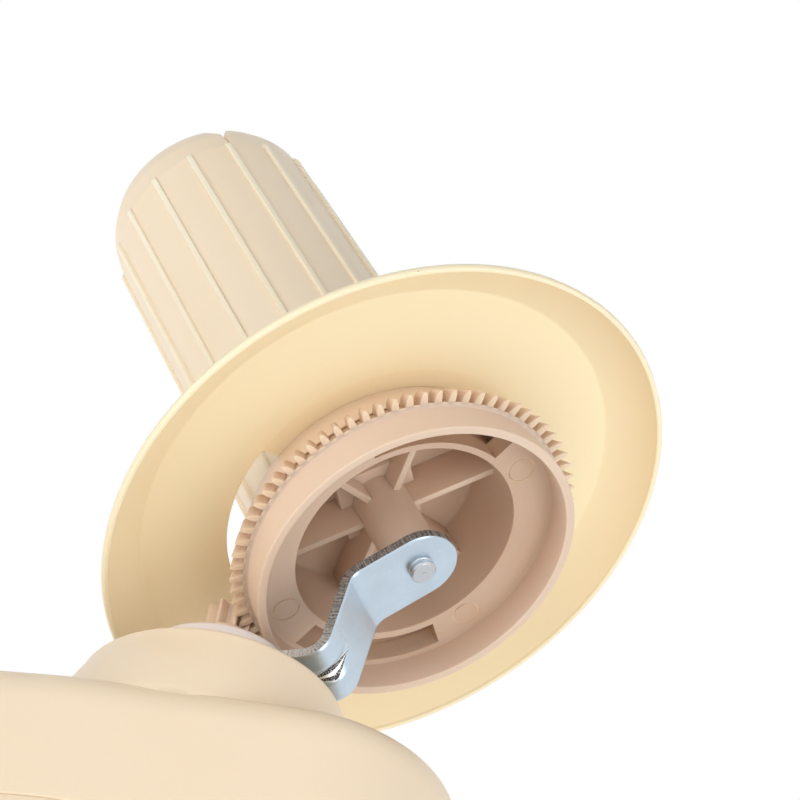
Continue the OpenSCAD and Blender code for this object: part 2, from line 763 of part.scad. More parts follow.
// Steel axle of the spool, riveted in the strap
pin_top = core_end + core_end_t + 5;
module spool_pin() {
    color("silver") at_spool() {
        translate([0, 0, strap_out - pin_stub]) cylinder(r = spool_pin_r, h = pin_top - strap_out + pin_stub);
    }
}

module spool_washer() {
    color("white") at_spool() translate([0, 0, core_end + core_end_t + side_gap])
        plain_bush(spool_pin_r, 8, 1);
}

// Spring clip that holds the spool on its pin
module spool_clip() {
    color("silver") at_spool() translate([0, 0, core_end + core_end_t + side_gap + 1]) difference() {
        cylinder(r = 5, h = 1);
        translate([0, 0, -1]) cylinder(r = spool_pin_r, h = 3);
        translate([0, -1.4, -1]) cube([8, 2.8, 3]);
    }
}

// Spool: ribbed tube and dished flange in one moulding, open at both ends
window_span = 60;
window_dirs = [2, 182];
module spool() {
    color("blanchedalmond") at_spool() rotate([0, 0, 180]) difference() {
        union() {
            rotate_extrude() polygon([
                [hole_r, neck_top], [hole_r + 0.6, neck_top], [bend_r, dish_depth], [rim_r - 1.2, 0.2],
                [rim_r - 0.8, 0], [rim_r - 0.3, 0], [rim_r, 0.5], [rim_r, 1],
                [bend_r + 1, dish_depth + flange_t],
                [hole_r, neck_top + flange_t + 1.6], [tube_r, neck_top + flange_t + 2.4],
                [shoulder_r, shoulder_h], [mouth_r, tube_h - 0.8], [mouth_r - 0.4, tube_h],
                [mouth_r - tube_wall + 0.3, tube_h], [shoulder_r - tube_wall, shoulder_h - 1],
                [seat_r, seat_z + 1], [seat_r, neck_top]]);
            for (i = [0:rib_count - 1]) rotate([0, 0, 5 + 360 * i / rib_count]) rib();
        }
        translate([0, 0, shoulder_h]) rotate([0, 0, 128]) {
            translate([mouth_r - 8, -0.4, 0]) cube([16, 0.8, 30]);
            translate([0, 0, tube_h - shoulder_h - 3]) rotate([90, 0, 90]) linear_extrude(60)
                polygon([[0, 0], [3, 4], [-3, 4]]);
        }
        for (dir = window_dirs) rotate([0, 0, dir]) translate([0, 0, neck_top - 1])
            rotate_extrude(angle = window_span) translate([tube_r + 1, 0]) square([hole_r - tube_r - 1, 12]);
    }
}

// Rib of the tube, following its taper
module rib() {
    foot = neck_top + flange_t + 2;
    rotate([90, 0, 0]) translate([0, 0, -rib_w / 2]) linear_extrude(rib_w) polygon([
        [tube_r - 1, foot], [tube_r + rib_h, foot], [shoulder_r + rib_h, shoulder_h - 1.2],
        [shoulder_r + rib_h - 0.5, shoulder_h - 0.2], [shoulder_r - 0.5, shoulder_h - 0.2]]);
}

// Tooth of the ring gear: its length runs parallel to the rotor axis when it meets the sun
module ring_tooth(phi) {
    side = [for (p = [[-0.6, 0.83], [0, 0.83], [1.36, 0.64], [2.17, 0.37], [2.48, 0.16]]) p * mesh_module];
    rotate([0, 0, phi]) translate([ring_root_r, 0, core_front]) rotate([0, -tilt, 0])
        translate([0, 0, -3]) linear_extrude(ring_face + 4)
            polygon(concat([for (p = side) [p[0], -p[1]]], [for (i = [len(side) - 1:-1:0]) side[i]]));
}

// Gear core: ring gear, lip, bore and axle column in one moulding, pushed into the spool
module gear_core() {
    cone_back = ring_root_r - (core_back - core_front) * tan(tilt);
    color("tan") at_spool() rotate([0, 0, 180]) difference() {
        union() {
            intersection() {
                union() for (i = [0:ring_teeth - 1]) ring_tooth(ring_phase + 360 * i / ring_teeth);
                translate([0, 0, core_front]) cylinder(r = 60, h = core_back - core_front);
            }
            rotate_extrude() polygon([
                [core_bore_r, core_floor], [land_edge_r, core_floor], [land_edge_r + 0.5, lip_z],
                [land_edge_r + 2.3, lip_z], [land_edge_r + 2.5, lip_z + 0.4], [ring_root_r - 1.4, core_front],
                [ring_root_r, core_front], [cone_back + 0.1, core_back - 0.2],
                [cone_back + 0.5, core_back - 0.2], [cone_back + 0.3, core_back + 0.5], [neck_r, neck_top],
                [neck_r - 1.6, neck_top], [cone_back - 1.4, core_back + 0.5],
                [core_bore_r + core_wall, core_back + 0.5], [core_bore_r + core_wall, neck_top],
                [seat_r, neck_top], [seat_r, seat_z], [seat_r - 0.8, seat_z + 1],
                [seat_r - 0.8, core_end + core_end_t], [0, core_end + core_end_t], [0, core_end],
                [cup_end_r, core_end]]);
            translate([0, 0, column_z]) cylinder(r = column_r, h = core_end - column_z + 0.5);
            intersection() {
                rotate([0, 0, core_axis_dir]) {
                    translate([-40, -web_t / 2, web_z]) cube([80, web_t, core_end + 0.5 - web_z]);
                    for (dir = fin_dirs) rotate([0, 0, dir]) translate([column_r - 0.5, -web_t / 2, fin_z])
                        cube([30, web_t, core_end + 0.5 - fin_z]);
                    translate([-plinth_w / 2, -plinth_w / 2, plinth_z])
                        cube([plinth_w, plinth_w, core_end + 0.5 - plinth_z]);
                }
                rotate_extrude() polygon([[0, core_floor], [core_bore_r + 0.5, core_floor],
                    [cup_end_r + 0.5, core_end], [cup_end_r + 0.5, 40], [0, 40]]);
            }
        }
        translate([0, 0, column_z - 1]) cylinder(r = spool_pin_r + run_fit, h = 80);
        for (dir = pocket_dirs) rotate([0, 0, dir]) translate([0, 0, core_floor - 1])
            rotate_extrude(angle = pocket_span) translate([core_bore_r + core_wall + 0.2, 0])
                square([cone_back - 2 - core_bore_r - core_wall, core_back - core_floor + 2]);
    }
}

// Yarn guide: plastic socket in the body's top, steel wire with an open eye, and its collar
module guide_socket() {
    color("tan") translate([guide_x, 0, 0]) difference() {
        union() {
            translate([0, 0, socket_z]) cylinder(r = 5, h = top_z - socket_z);
            translate([0, 0, top_z]) cylinder(r = 8, h = 5);
        }
        translate([0, 0, socket_z + 1.5]) cylinder(r = guide_r + run_fit, h = 60);
    }
}

guide_bend_z = 74;
module guide_arm() {
    rise = guide_h - eye_r - guide_bend_z;
    slant = atan2(guide_reach, rise);
    len = norm([guide_reach, rise]);
    color("silver") translate([guide_x, 0, 0]) {
        translate([0, 0, socket_z + 1.8]) cylinder(r = guide_r, h = guide_bend_z - socket_z - 1.8);
        translate([0, 0, guide_bend_z]) sphere(r = guide_r);
        translate([0, 0, guide_bend_z]) rotate([0, -slant, 0]) {
            cylinder(r = guide_r, h = len);
            translate([eye_r + guide_r, 0, len]) rotate([90, 0, 0]) rotate([0, 0, 180])
                rotate_extrude(angle = -300) translate([eye_r + guide_r, 0]) circle(r = guide_r);
        }
    }
}

module guide_collar() {
    color("silver") translate([guide_x, 0, top_z + 5 + side_gap]) plain_bush(guide_r, 4, 4);
}

housing_upper();
housing_lower();
housing_screws();
seat_pad();
clamp_bracket();
bracket_screws();
clamp_nut();
clamp_screw();
clamp_knob();
clamp_foot();
crank_shaft();
crank_bush_lower();
crank_bush_upper();
drive_gear();
crank_arm();
crank_nut();
knob_pin();
crank_knob();
knob_screw();
rotor_shaft();
rotor_bush_lower();
rotor_bush_upper();
sun_spindle();
spindle_nut();
sun_pinion();
rotor_hub();
hub_cap();
hub_screws();
arm_strap();
spool_pin();
spool();
gear_core();
spool_washer();
spool_clip();
guide_socket();
guide_arm();
guide_collar();
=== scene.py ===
# %% [markdown]
# A table-clamped yarn ball winder, dressed for a close look.
#
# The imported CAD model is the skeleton: it fixes every size and every joint. This lesson keeps
# the small turned and punched parts as they are and gives them real finishes, and it builds
# finer meshes for the moulded parts and the bent steel arm, which the eye lands on first.

# %% Load the frame
import math

import bmesh
import bpy
import numpy as np
from mathutils import Matrix, Vector


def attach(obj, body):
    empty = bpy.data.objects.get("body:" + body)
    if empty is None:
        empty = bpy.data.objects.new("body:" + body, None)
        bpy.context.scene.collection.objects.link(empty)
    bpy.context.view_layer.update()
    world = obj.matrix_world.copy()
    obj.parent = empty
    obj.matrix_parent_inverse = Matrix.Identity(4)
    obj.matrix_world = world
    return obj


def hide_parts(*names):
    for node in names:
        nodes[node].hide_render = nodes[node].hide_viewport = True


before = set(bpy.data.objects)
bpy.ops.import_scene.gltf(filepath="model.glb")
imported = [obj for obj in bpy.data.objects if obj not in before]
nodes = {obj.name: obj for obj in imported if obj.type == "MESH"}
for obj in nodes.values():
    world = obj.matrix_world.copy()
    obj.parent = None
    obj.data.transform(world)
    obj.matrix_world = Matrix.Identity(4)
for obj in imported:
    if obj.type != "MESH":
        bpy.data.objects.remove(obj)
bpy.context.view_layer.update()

# %% [markdown]
# Everything on the winder is placed from a few axes. The rotor stands upright at the wide end.
# The arm that it carries is turned a little towards the viewer, and the spool's axle leans back
# from the arm's end. Two matrices hold those two frames, so a piece can be drawn round its own
# axis and then moved into place inside its mesh.

# %% Sizes and frames, in millimetres
MM = 0.001
ROTOR_X = 145.5
ARM_TURN = math.radians(-20.8)
TILT = math.radians(32.3)
MESH_Z = 82.9
SPOOL_X, SPOOL_Z = 33.956, 113.338

arm_frame = Matrix.Translation((ROTOR_X, 0, 0)) @ Matrix.Rotation(ARM_TURN, 4, "Z")
spool_frame = arm_frame @ Matrix.Translation((SPOOL_X, 0, SPOOL_Z)) @ Matrix.Rotation(-TILT, 4, "Y")
half_turn = Matrix.Rotation(math.pi, 4, "Z")
as_drawn = Matrix.Identity(4)
to_metres = Matrix.Scale(MM, 4)
print("middle of the rim at", [round(v, 2) for v in spool_frame.translation])

# %% [markdown]
# The picture was taken from below, about 0.9 m away, looking up along the arm. The camera's
# three directions are given in the arm's frame, because they were worked out from the circles
# of the flange, the lip and the boss, which all belong to it.

# %% Camera
camera_in_arm = Vector((345.64, -632.54, -497.98)) + Vector((0, 0, MESH_Z))
right = Vector((0.931935, 0.330286, 0.149693))
down = Vector((-0.100860, 0.632605, -0.767879))
forward = Vector((-0.348316, 0.700515, 0.622860))
look = Matrix((right, -down, -forward)).transposed().to_4x4()
look.translation = camera_in_arm
lens = bpy.data.cameras.new("camera")
lens.sensor_width = 36.0
lens.lens = 176.38
lens.clip_end = 50
camera = bpy.data.objects.new("camera", lens)
bpy.context.collection.objects.link(camera)
place = arm_frame @ look
place.translation *= MM
camera.matrix_world = place
bpy.context.scene.camera = camera
print("camera at", [round(v, 3) for v in place.translation])

# %% [markdown]
# The light is that of a white studio. A big soft lamp over the viewer's left shoulder does most of
# the work, two smaller ones low on the left and right shape the round parts, and two behind the
# object keep its back from going dull. The room is an even pale light, and plain white to the
# camera and in reflections, so the object stands on a clean page. The floor is pale paper under
# the viewpoint. It takes the shadow, and it throws light up at the flange as a white table would,
# which is what lights a view from below. Together they light a facing surface about as strongly
# as a white room would, so a colour looks as it is written.

# %% Lights and world
AIM = (0.16, 0.0, 0.12)


def soft_lamp(name, watts, size, spot):
    """A round lamp, so many metres across, aimed at the object."""
    data = bpy.data.lights.new(name, "AREA")
    data.energy = watts
    data.shape = "DISK"
    data.size = size
    lamp = bpy.data.objects.new(name, data)
    bpy.context.collection.objects.link(lamp)
    lamp.location = spot
    lamp.rotation_euler = (Vector(AIM) - Vector(spot)).to_track_quat("-Z", "Y").to_euler()
    return lamp


soft_lamp("key", 18.5, 1.5, (-0.3, -2.1, -0.42))
soft_lamp("low_left", 4.4, 0.9, (-0.7, -0.75, -0.4))
soft_lamp("low_right", 2.55, 0.8, (0.8, -0.34, -0.42))
soft_lamp("top", 0.4, 1.2, (0.3, 0.5, 1.6))
for side, spot in (("left", (-1.0, 1.5, 0.75)), ("right", (1.3, 1.4, 0.75))):
    soft_lamp("back_" + side, 8.0, 1.2, spot).visible_glossy = False


def shine(tree, kind, strength, colour=(1, 1, 1, 1)):
    """A shader that only shines, as the world's background or as a glowing sheet."""
    made = tree.nodes.new(kind)
    made.inputs["Color"].default_value = colour
    made.inputs["Strength"].default_value = strength
    return made.outputs[0]


def for_rays(tree, kinds, shader, other):
    """The shader, with another one in its place for the given kinds of ray."""
    rays = tree.nodes.new("ShaderNodeLightPath")
    for kind in kinds:
        choice = tree.nodes.new("ShaderNodeMixShader")
        tree.links.new(rays.outputs[f"Is {kind} Ray"], choice.inputs["Fac"])
        tree.links.new(shader, choice.inputs[1])
        tree.links.new(other, choice.inputs[2])
        shader = choice.outputs[0]
    return shader


world = bpy.data.worlds.new("studio")
bpy.context.scene.world = world
world.use_nodes = True
studio = world.node_tree
studio.nodes.clear()
room = shine(studio, "ShaderNodeBackground", 0.35, (0.96, 0.98, 1.0, 1))
page = shine(studio, "ShaderNodeBackground", 1.0)
studio.links.new(for_rays(studio, ("Camera", "Glossy", "Transmission"), room, page),
                 studio.nodes.new("ShaderNodeOutputWorld").inputs["Surface"])
print("lamps:", ", ".join(lamp.name for lamp in bpy.data.lights))

# %% Floor
FLOOR_Z = -0.48
bpy.ops.mesh.primitive_circle_add(vertices=96, radius=6.0, fill_type="NGON",
                                  location=(0.1, 0, FLOOR_Z))
floor = bpy.context.object
floor.name = "floor"
paper = bpy.data.materials.new("pale_paper")
paper.use_nodes = True
fibre = paper.node_tree
sheet = fibre.nodes["Principled BSDF"]
sheet.inputs["Base Color"].default_value = (0.88, 0.88, 0.87, 1)
sheet.inputs["Roughness"].default_value = 0.85
pale = fibre.nodes.new("ShaderNodeAddShader")
fibre.links.new(sheet.outputs[0], pale.inputs[0])
fibre.links.new(shine(fibre, "ShaderNodeEmission", 0.36), pale.inputs[1])
paper_seen = for_rays(fibre, ("Glossy",), pale.outputs[0], shine(fibre, "ShaderNodeEmission", 1.0))
paper_seen = for_rays(fibre, ("Diffuse",), paper_seen, shine(fibre, "ShaderNodeEmission", 0.97))
fibre.links.new(paper_seen, fibre.nodes["Material Output"].inputs["Surface"])
floor.data.materials.append(paper)
print("floor at", FLOOR_Z, "m, under the viewpoint")

bpy.context.scene.view_settings.view_transform = "Standard"

# %% [markdown]
# Finishes are written as sums. A small class wraps one output socket and overloads the operators,
# so that a line such as `0.35 + 0.1 * cloudy` adds the Math nodes for it. The recipe keeps the
# tree, and any other node comes from its one method, which sets the node up before its inputs.

# %% A recipe for finishes
class Wire:
    """An output socket of a finish that can be used in sums."""

    def __init__(self, recipe, socket):
        self.recipe, self.socket = recipe, socket

    def sum(self, kind, left, right):
        return self.recipe.node("ShaderNodeMath", {"operation": kind}, {0: left, 1: right})

    def __add__(self, other):
        return self.sum("ADD", self, other)

    def __sub__(self, other):
        return self.sum("SUBTRACT", self, other)

    def __rsub__(self, other):
        return self.sum("SUBTRACT", other, self)

    def __mul__(self, other):
        return self.sum("MULTIPLY", self, other)

    def __gt__(self, other):
        return self.sum("GREATER_THAN", self, other)

    __radd__ = __add__
    __rmul__ = __mul__


class Recipe:
    """A material under construction, with one Principled shader."""

    def __init__(self, name, **constants):
        self.material = bpy.data.materials.new(name)
        self.material.use_nodes = True
        self.tree = self.material.node_tree
        self.tree.nodes.clear()
        self.shader = self.tree.nodes.new("ShaderNodeBsdfPrincipled")
        end = self.tree.nodes.new("ShaderNodeOutputMaterial")
        self.tree.links.new(self.shader.outputs[0], end.inputs["Surface"])
        for key, value in constants.items():
            self.shader.inputs[key.replace("_", " ")].default_value = value

    def node(self, kind, setup=None, inputs=None, out=0):
        made = self.tree.nodes.new(kind)
        for key, value in (setup or {}).items():
            setattr(made, key, value)
        for key, value in (inputs or {}).items():
            if isinstance(value, Wire):
                self.tree.links.new(value.socket, made.inputs[key])
            else:
                made.inputs[key].default_value = value
        return Wire(self, made.outputs[out])

    def place(self):
        return self.node("ShaderNodeTexCoord", out="Object")

    def noise(self, size_mm, where=None, detail=3.0, rough=0.5, stretch=None):
        """Noise with patches of about the given size, from 0 to 1."""
        where = where or self.place()
        if stretch:
            where = self.node("ShaderNodeMapping", {}, {"Vector": where, "Scale": stretch})
        return self.node("ShaderNodeTexNoise", {}, {"Vector": where, "Scale": 1000.0 / size_mm,
                         "Detail": detail, "Roughness": rough})

    def blend(self, amount, one, other):
        return self.node("ShaderNodeMix", {"data_type": "RGBA"}, {0: amount, 6: one, 7: other}, out=2)

    def limit(self, kind, value, bound):
        """The smaller or larger of a value and a bound, for kind MINIMUM or MAXIMUM."""
        return self.node("ShaderNodeMath", {"operation": kind}, {0: value, 1: bound})

    def bump(self, height, depth_mm, strength=1.0, normal=None):
        inputs = {"Height": height, "Distance": depth_mm * MM, "Strength": strength}
        if normal:
            inputs["Normal"] = normal
        return self.node("ShaderNodeBump", {}, inputs)

    def feed(self, **wires):
        for key, wire in wires.items():
            self.tree.links.new(wire.socket, self.shader.inputs[key.replace("_", " ")])
        return self.material


def tint(red, green, blue):
    """A colour as it is seen on screen, from 0 to 255, as the renderer's linear values."""
    seen = [v / 255 for v in (red, green, blue)]
    return tuple(v / 12.92 if v <= 0.04045 else ((v + 0.055) / 1.055) ** 2.4 for v in seen) + (1.0,)


# %% [markdown]
# The winder is almost all injection-moulded plastic in creams and tans. Such a surface is never
# one flat colour: the pigment clouds a little where the melt flowed, the gloss wavers, and a
# spark-eroded mould leaves a fine grain, with a burnt speck here and there. Light also sinks in a
# millimetre or so, which softens the shadows in the corners, so each plastic scatters a little
# under its skin. Light and shade are also painted into the colour: a painted glow where a wall is
# thin, and painted golden-brown shade in a deep gap. Those zones are painted on the vertices of a
# piece under a name, and the finish reads them by it.

# %% Moulded plastics
SPECK_APART_MM, SPECK_SHARE = 15, 0.014
SPECK = (140, 104, 72)


def moulded(name, colour, shade, rough=0.36, glow=0.12, sink_mm=1.5, zones=()):
    mix = Recipe(name, Roughness=rough, Subsurface_Weight=glow, Subsurface_Scale=sink_mm * MM,
                 Specular_IOR_Level=0.42)
    mix.shader.inputs["Subsurface Radius"].default_value = (1.0, 0.72, 0.45)
    flow, fleck = mix.noise(22, detail=2.0), mix.noise(1.1, detail=2.0)
    skin = mix.blend(0.75 * flow + 0.12 * fleck, tint(*colour), tint(*shade))
    # The zones paint light and shade into the colour, and the spool's flange a yellower tone, by the
    # share on each vertex.
    for zone, other in zones:
        share = mix.node("ShaderNodeAttribute", {"attribute_name": zone}, out=2)
        skin = mix.blend(share, skin, tint(*other))
    burnt = mix.node("ShaderNodeTexVoronoi", {"feature": "F1"},
                     {"Vector": mix.place(), "Scale": 1000 / SPECK_APART_MM})
    skin = mix.blend((1 - (burnt > SPECK_SHARE)) * 0.5, skin, tint(*SPECK))
    grain = mix.noise(0.5, detail=4.0, rough=0.6)
    ripple = mix.noise(9, detail=1.0)
    soft = mix.bump(ripple, 0.08, 0.35)
    return mix.feed(Base_Color=skin, Roughness=rough - 0.07 + 0.14 * mix.noise(6, detail=3.0),
                    Normal=mix.bump(grain, 0.012, 0.5, soft))


shell_plastic = moulded("shell_plastic", (250, 231, 204), (247, 224, 192))
cover_plastic = moulded("cover_plastic", (246, 226, 197), (241, 218, 186), rough=0.42)
# The spool's zones: a yellower flange, painted shade on the dish's wall, and a painted highlight on the
# rim and the rib crests.
spool_plastic = moulded("spool_plastic", (250, 232, 205), (248, 226, 195), rough=0.38,
                        zones=(("dish", (252, 234, 194)), ("hollow", (218, 186, 132)),
                               ("painted_glow", (255, 244, 217))))
# The core's zones: painted golden-brown shade in the gaps, pockets and bore, and a painted glow on the
# teeth's fronts and the pockets' floors.
core_plastic = moulded("core_plastic", (230, 207, 186), (223, 197, 175), rough=0.40, glow=0.3,
                       sink_mm=2.5, zones=(("hollow", (174, 134, 102)), ("painted_glow", (252, 228, 198))))
hub_plastic = moulded("hub_plastic", (240, 232, 229), (232, 223, 220), rough=0.34)
nylon = moulded("nylon", (240, 236, 222), (232, 227, 210), rough=0.45)
knob_plastic = moulded("knob_plastic", (244, 220, 184), (236, 209, 170), rough=0.28)
print("plastics:", len([m for m in bpy.data.materials if "plastic" in m.name or m.name == "nylon"]))

# %% [markdown]
# The metal parts are zinc-plated or turned steel. The plate mirrors the room softly, with faint
# lines from rolling, and clouds where the bath ran. A turned part has fine rings round it, so the
# same noise is squeezed along its axis. Bronze bushes and black rubber complete the set.

# %% Metals and rubber
def plated(name, colour, rough=0.3, lines=(1.0, 1.0, 1.0)):
    mix = Recipe(name, Metallic=1.0, Roughness=rough)
    cloud = mix.noise(7, detail=3.0)
    line = mix.noise(1.2, detail=3.0, stretch=lines)
    skin = mix.blend(0.8 * cloud, tint(*colour), tint(*[0.88 * c for c in colour]))
    return mix.feed(Base_Color=skin, Roughness=rough - 0.1 + 0.16 * line + 0.08 * cloud,
                    Normal=mix.bump(line, 0.01, 0.4))


zinc = plated("zinc_plate", (206, 222, 235), 0.34)
turned = plated("turned_steel", (205, 208, 212), 0.28, lines=(0.2, 0.2, 3.0))
bronze = plated("sintered_bronze", (176, 140, 92), 0.5)


def rubber(name, colour):
    mix = Recipe(name, Roughness=0.8, Specular_IOR_Level=0.3)
    dust = mix.noise(3, detail=4.0)
    skin = mix.blend(dust, tint(*colour), tint(*[1.35 * c for c in colour]))
    return mix.feed(Base_Color=skin, Roughness=0.7 + 0.2 * dust,
                    Normal=mix.bump(mix.noise(0.4, detail=3.0), 0.04, 0.6))


grey_rubber = rubber("grey_rubber", (62, 60, 58))
print("metals and rubber:", zinc.name, turned.name, bronze.name, grey_rubber.name)

# %% [markdown]
# The arm has two finishes of its own. Where the press sheared the strip, its edge is torn and
# grey-brown with short ridges through the thickness, and it grows lighter round the lower bend.
# Its faces are plated, with a painted darker reflection near the hub, and in the lower bend the
# press left a dart, painted with bright highlights and dark shade in turn. Both read the strip's UV
# map, which holds the length along the strip and the place across it in metres, and the dart reads
# the name painted on its vertices.

# %% Finishes of the arm
def along_strip(mix):
    """The length along the strip, in metres."""
    return mix.node("ShaderNodeSeparateXYZ", {},
                    {"Vector": mix.node("ShaderNodeUVMap", {"uv_map": "strip"})})


def sheared_edge():
    """The torn side of the strip: short ridges across it, brighter towards the hub."""
    mix = Recipe("sheared_edge", Metallic=0.6, Roughness=0.6)
    length = along_strip(mix)
    ridge_at = mix.node("ShaderNodeCombineXYZ", {}, {"X": length})
    ridge = mix.node("ShaderNodeTexNoise", {}, {"Vector": ridge_at, "Scale": 2200, "Detail": 2.0})
    tear = mix.noise(0.45, detail=4.0, rough=0.7)
    bright = mix.limit("MAXIMUM", length * 30 - 0.75, 0.0)
    grit = (0.5 * tear + 0.5 * ridge - 0.5) * 3.0 + 0.32 + 0.9 * bright
    return mix.feed(Base_Color=mix.blend(grit, tint(62, 53, 48), tint(222, 219, 215)),
                    Roughness=0.4 + 0.35 * tear, Normal=mix.bump(tear + 1.2 * ridge, 0.3, 0.9))


def between(value, low, high):
    """1 where a value lies between two bounds, and 0 elsewhere."""
    return (value > low) * (1 - (value > high))


def pressed_strip():
    """The strip's faces: zinc plate with a painted darker reflection near the hub, and painted highlight
    and painted shade on the dart where it was pressed.
    """
    mix = Recipe("zinc_strip", Metallic=1.0, Roughness=0.3)
    cloud, line = mix.noise(6, detail=4.0), mix.noise(1.2, detail=3.0)
    spark = mix.noise(0.5, detail=2.0)
    skin = mix.blend(0.7 * cloud, tint(202, 218, 231), tint(180, 194, 205))
    skin = mix.blend((spark > 0.7) * 0.6, skin, tint(235, 242, 248))
    # A painted darker reflection on the faces towards the hub.
    painted_reflection_near_hub = along_strip(mix) * 60 - 2.6
    painted_reflection_near_hub = mix.limit("MINIMUM", mix.limit("MAXIMUM", painted_reflection_near_hub, 0.0), 0.7)
    skin = mix.blend(painted_reflection_near_hub, skin, tint(176, 180, 184))
    # A painted highlight over the dart's leaf, then painted shade in bands across it, broken up by
    # noise.
    dart = mix.node("ShaderNodeAttribute", {"attribute_name": "dart"}, out=2)
    skin = mix.blend(between(dart, -1.0, 1.0), skin, tint(252, 252, 252))
    painted_crease_shade = between(dart, -0.35, 0.3) + between(dart, 0.6, 0.95)
    grit = mix.noise(0.28, detail=3.0) > 0.42
    skin = mix.blend(painted_crease_shade * (0.35 + 0.6 * grit), skin, tint(38, 36, 36))
    return mix.feed(Base_Color=skin, Roughness=0.24 + 0.12 * line + 0.06 * cloud,
                    Normal=mix.bump(line, 0.012, 0.4))


edge_steel, strip_zinc = sheared_edge(), pressed_strip()
print("finishes of the arm:", edge_steel.name, strip_zinc.name)

# %% [markdown]
# The small pieces whose CAD shape is already right keep their own mesh. Each only gets its finish.

# %% Finishes for the carried-over pieces
wear = {
    shell_plastic: ["housing_upper"],
    cover_plastic: ["housing_lower", "guide_socket"],
    spool_plastic: ["spool"],
    core_plastic: ["gear_core", "sun_pinion"],
    hub_plastic: ["rotor_hub", "hub_cap", "spool_washer"],
    nylon: ["drive_gear", "rotor_shaft"],
    knob_plastic: ["crank_knob", "clamp_knob"],
    zinc: ["housing_screws", "clamp_bracket", "bracket_screws", "crank_arm", "crank_nut", "knob_screw",
           "spindle_nut", "hub_screws", "arm_strap", "spool_clip"],
    turned: ["clamp_nut", "clamp_screw", "crank_shaft", "knob_pin", "sun_spindle", "spool_pin",
             "guide_arm", "guide_collar"],
    bronze: ["crank_bush_lower", "crank_bush_upper", "rotor_bush_lower", "rotor_bush_upper"],
    grey_rubber: ["seat_pad", "clamp_foot"],
}
for finish, names in wear.items():
    for name in names:
        for material_slot in nodes[name].material_slots:
            material_slot.material = finish
print("finished nodes:", sum(len(names) for names in wear.values()), "of", len(nodes))

# %% [markdown]
# Most moulded parts here are round, so their walls are drawn as a closed outline of radius and
# height and turned about an axis. Real mouldings have no sharp corners: each corner of the
# outline carries its own small radius, which is what catches the light along an edge.

# %% Outlines and turned walls
def rounded(corners, steps=5):
    """An outline with each corner (x, y, radius) replaced by an arc."""
    out = []
    count = len(corners)
    for i, (x, y, radius) in enumerate(corners):
        here = Vector((x, y))
        before = Vector(corners[i - 1][:2]) - here
        after = Vector(corners[(i + 1) % count][:2]) - here
        if radius <= 0 or before.length < 1e-6 or after.length < 1e-6:
            out.append((x, y))
            continue
        half = before.angle(after) / 2
        reach = min(radius / math.tan(half), 0.48 * before.length, 0.48 * after.length)
        bend = reach * math.tan(half)
        u, v = before.normalized(), after.normalized()
        middle = here + (u + v).normalized() * (bend / math.sin(half))
        first, last = here + u * reach - middle, here + v * reach - middle
        turn = first.angle_signed(last)
        for k in range(steps + 1):
            spoke = first.copy()
            spoke.rotate(Matrix.Rotation(-turn * k / steps, 2))
            out.append(tuple(middle + spoke))
    return out


def skin_over(mesh, rings, caps=True):
    """Joins rings of vertices by quads, one ring to the next, and closes the two ends."""
    for low, high in zip(rings, rings[1:]):
        for i in range(len(low)):
            j = (i + 1) % len(low)
            mesh.faces.new((low[i], low[j], high[j], high[i]))
    if caps:
        mesh.faces.new(rings[0][::-1])
        mesh.faces.new(rings[-1])
        bmesh.ops.recalc_face_normals(mesh, faces=mesh.faces)
    return mesh


def lathe(outline, segments=96):
    """A ring-shaped bmesh: a closed outline of (radius, height) turned about Z."""
    mesh = bmesh.new()
    rings = []
    for k in range(segments):
        c, s = math.cos(2 * math.pi * k / segments), math.sin(2 * math.pi * k / segments)
        rings.append([mesh.verts.new((r * c, r * s, z)) for r, z in outline])
    skin_over(mesh, rings + rings[:1], caps=False)
    bmesh.ops.remove_doubles(mesh, verts=mesh.verts, dist=1e-5)
    bmesh.ops.recalc_face_normals(mesh, faces=mesh.faces)
    return mesh


def slab(outline, z0, z1, bevel=0.0, segments=2):
    """A bmesh prism over a flat outline, with its edges softened."""
    mesh = bmesh.new()
    skin_over(mesh, [[mesh.verts.new((x, y, z)) for x, y in outline] for z in (z0, z1)])
    if bevel:
        bmesh.ops.bevel(mesh, geom=mesh.edges[:], offset=bevel, segments=segments, affect="EDGES",
                        clamp_overlap=True, profile=0.5)
    return mesh


def arc(cx, radius, start, stop, count):
    """Points on an arc in the plane, from one angle to another."""
    return [(cx + radius * math.cos(start + (stop - start) * k / count),
             radius * math.sin(start + (stop - start) * k / count)) for k in range(count + 1)]


def drum(x, y, radius, z0, z1, segments=64):
    """A closed cylinder, for holes and seats."""
    return slab([(x + radius * math.cos(2 * math.pi * k / segments),
                  y + radius * math.sin(2 * math.pi * k / segments)) for k in range(segments)], z0, z1)


def sector(r0, r1, start, span, z0, z1, steps=24):
    """A closed wedge of a ring, for cutting windows."""
    first, last = math.radians(start), math.radians(start + span)
    return slab(arc(0, r1, first, last, steps) + arc(0, r0, last, first, steps), z0, z1)


def placed(mesh, matrix):
    """The bmesh, moved by a matrix."""
    bmesh.ops.transform(mesh, matrix=matrix, verts=mesh.verts)
    return mesh


def turned_by(degrees):
    """A turn about Z."""
    return Matrix.Rotation(math.radians(degrees), 4, "Z")


square = [(0, 0, 1), (9, 0, 1), (9, 9, 1), (0, 9, 1)]
print("a square with soft corners has", len(rounded(square)), "points")

# %% [markdown]
# A mesh becomes an object while it is still in millimetres and in its own frame. Holes are cut and
# forms are joined with exact Booleans, each worked into the mesh at once so that the object never
# carries a live modifier. The last step moves the mesh to its place in metres and hands it to the
# frame: which body it rides on, and which CAD nodes it stands for, which it hides.

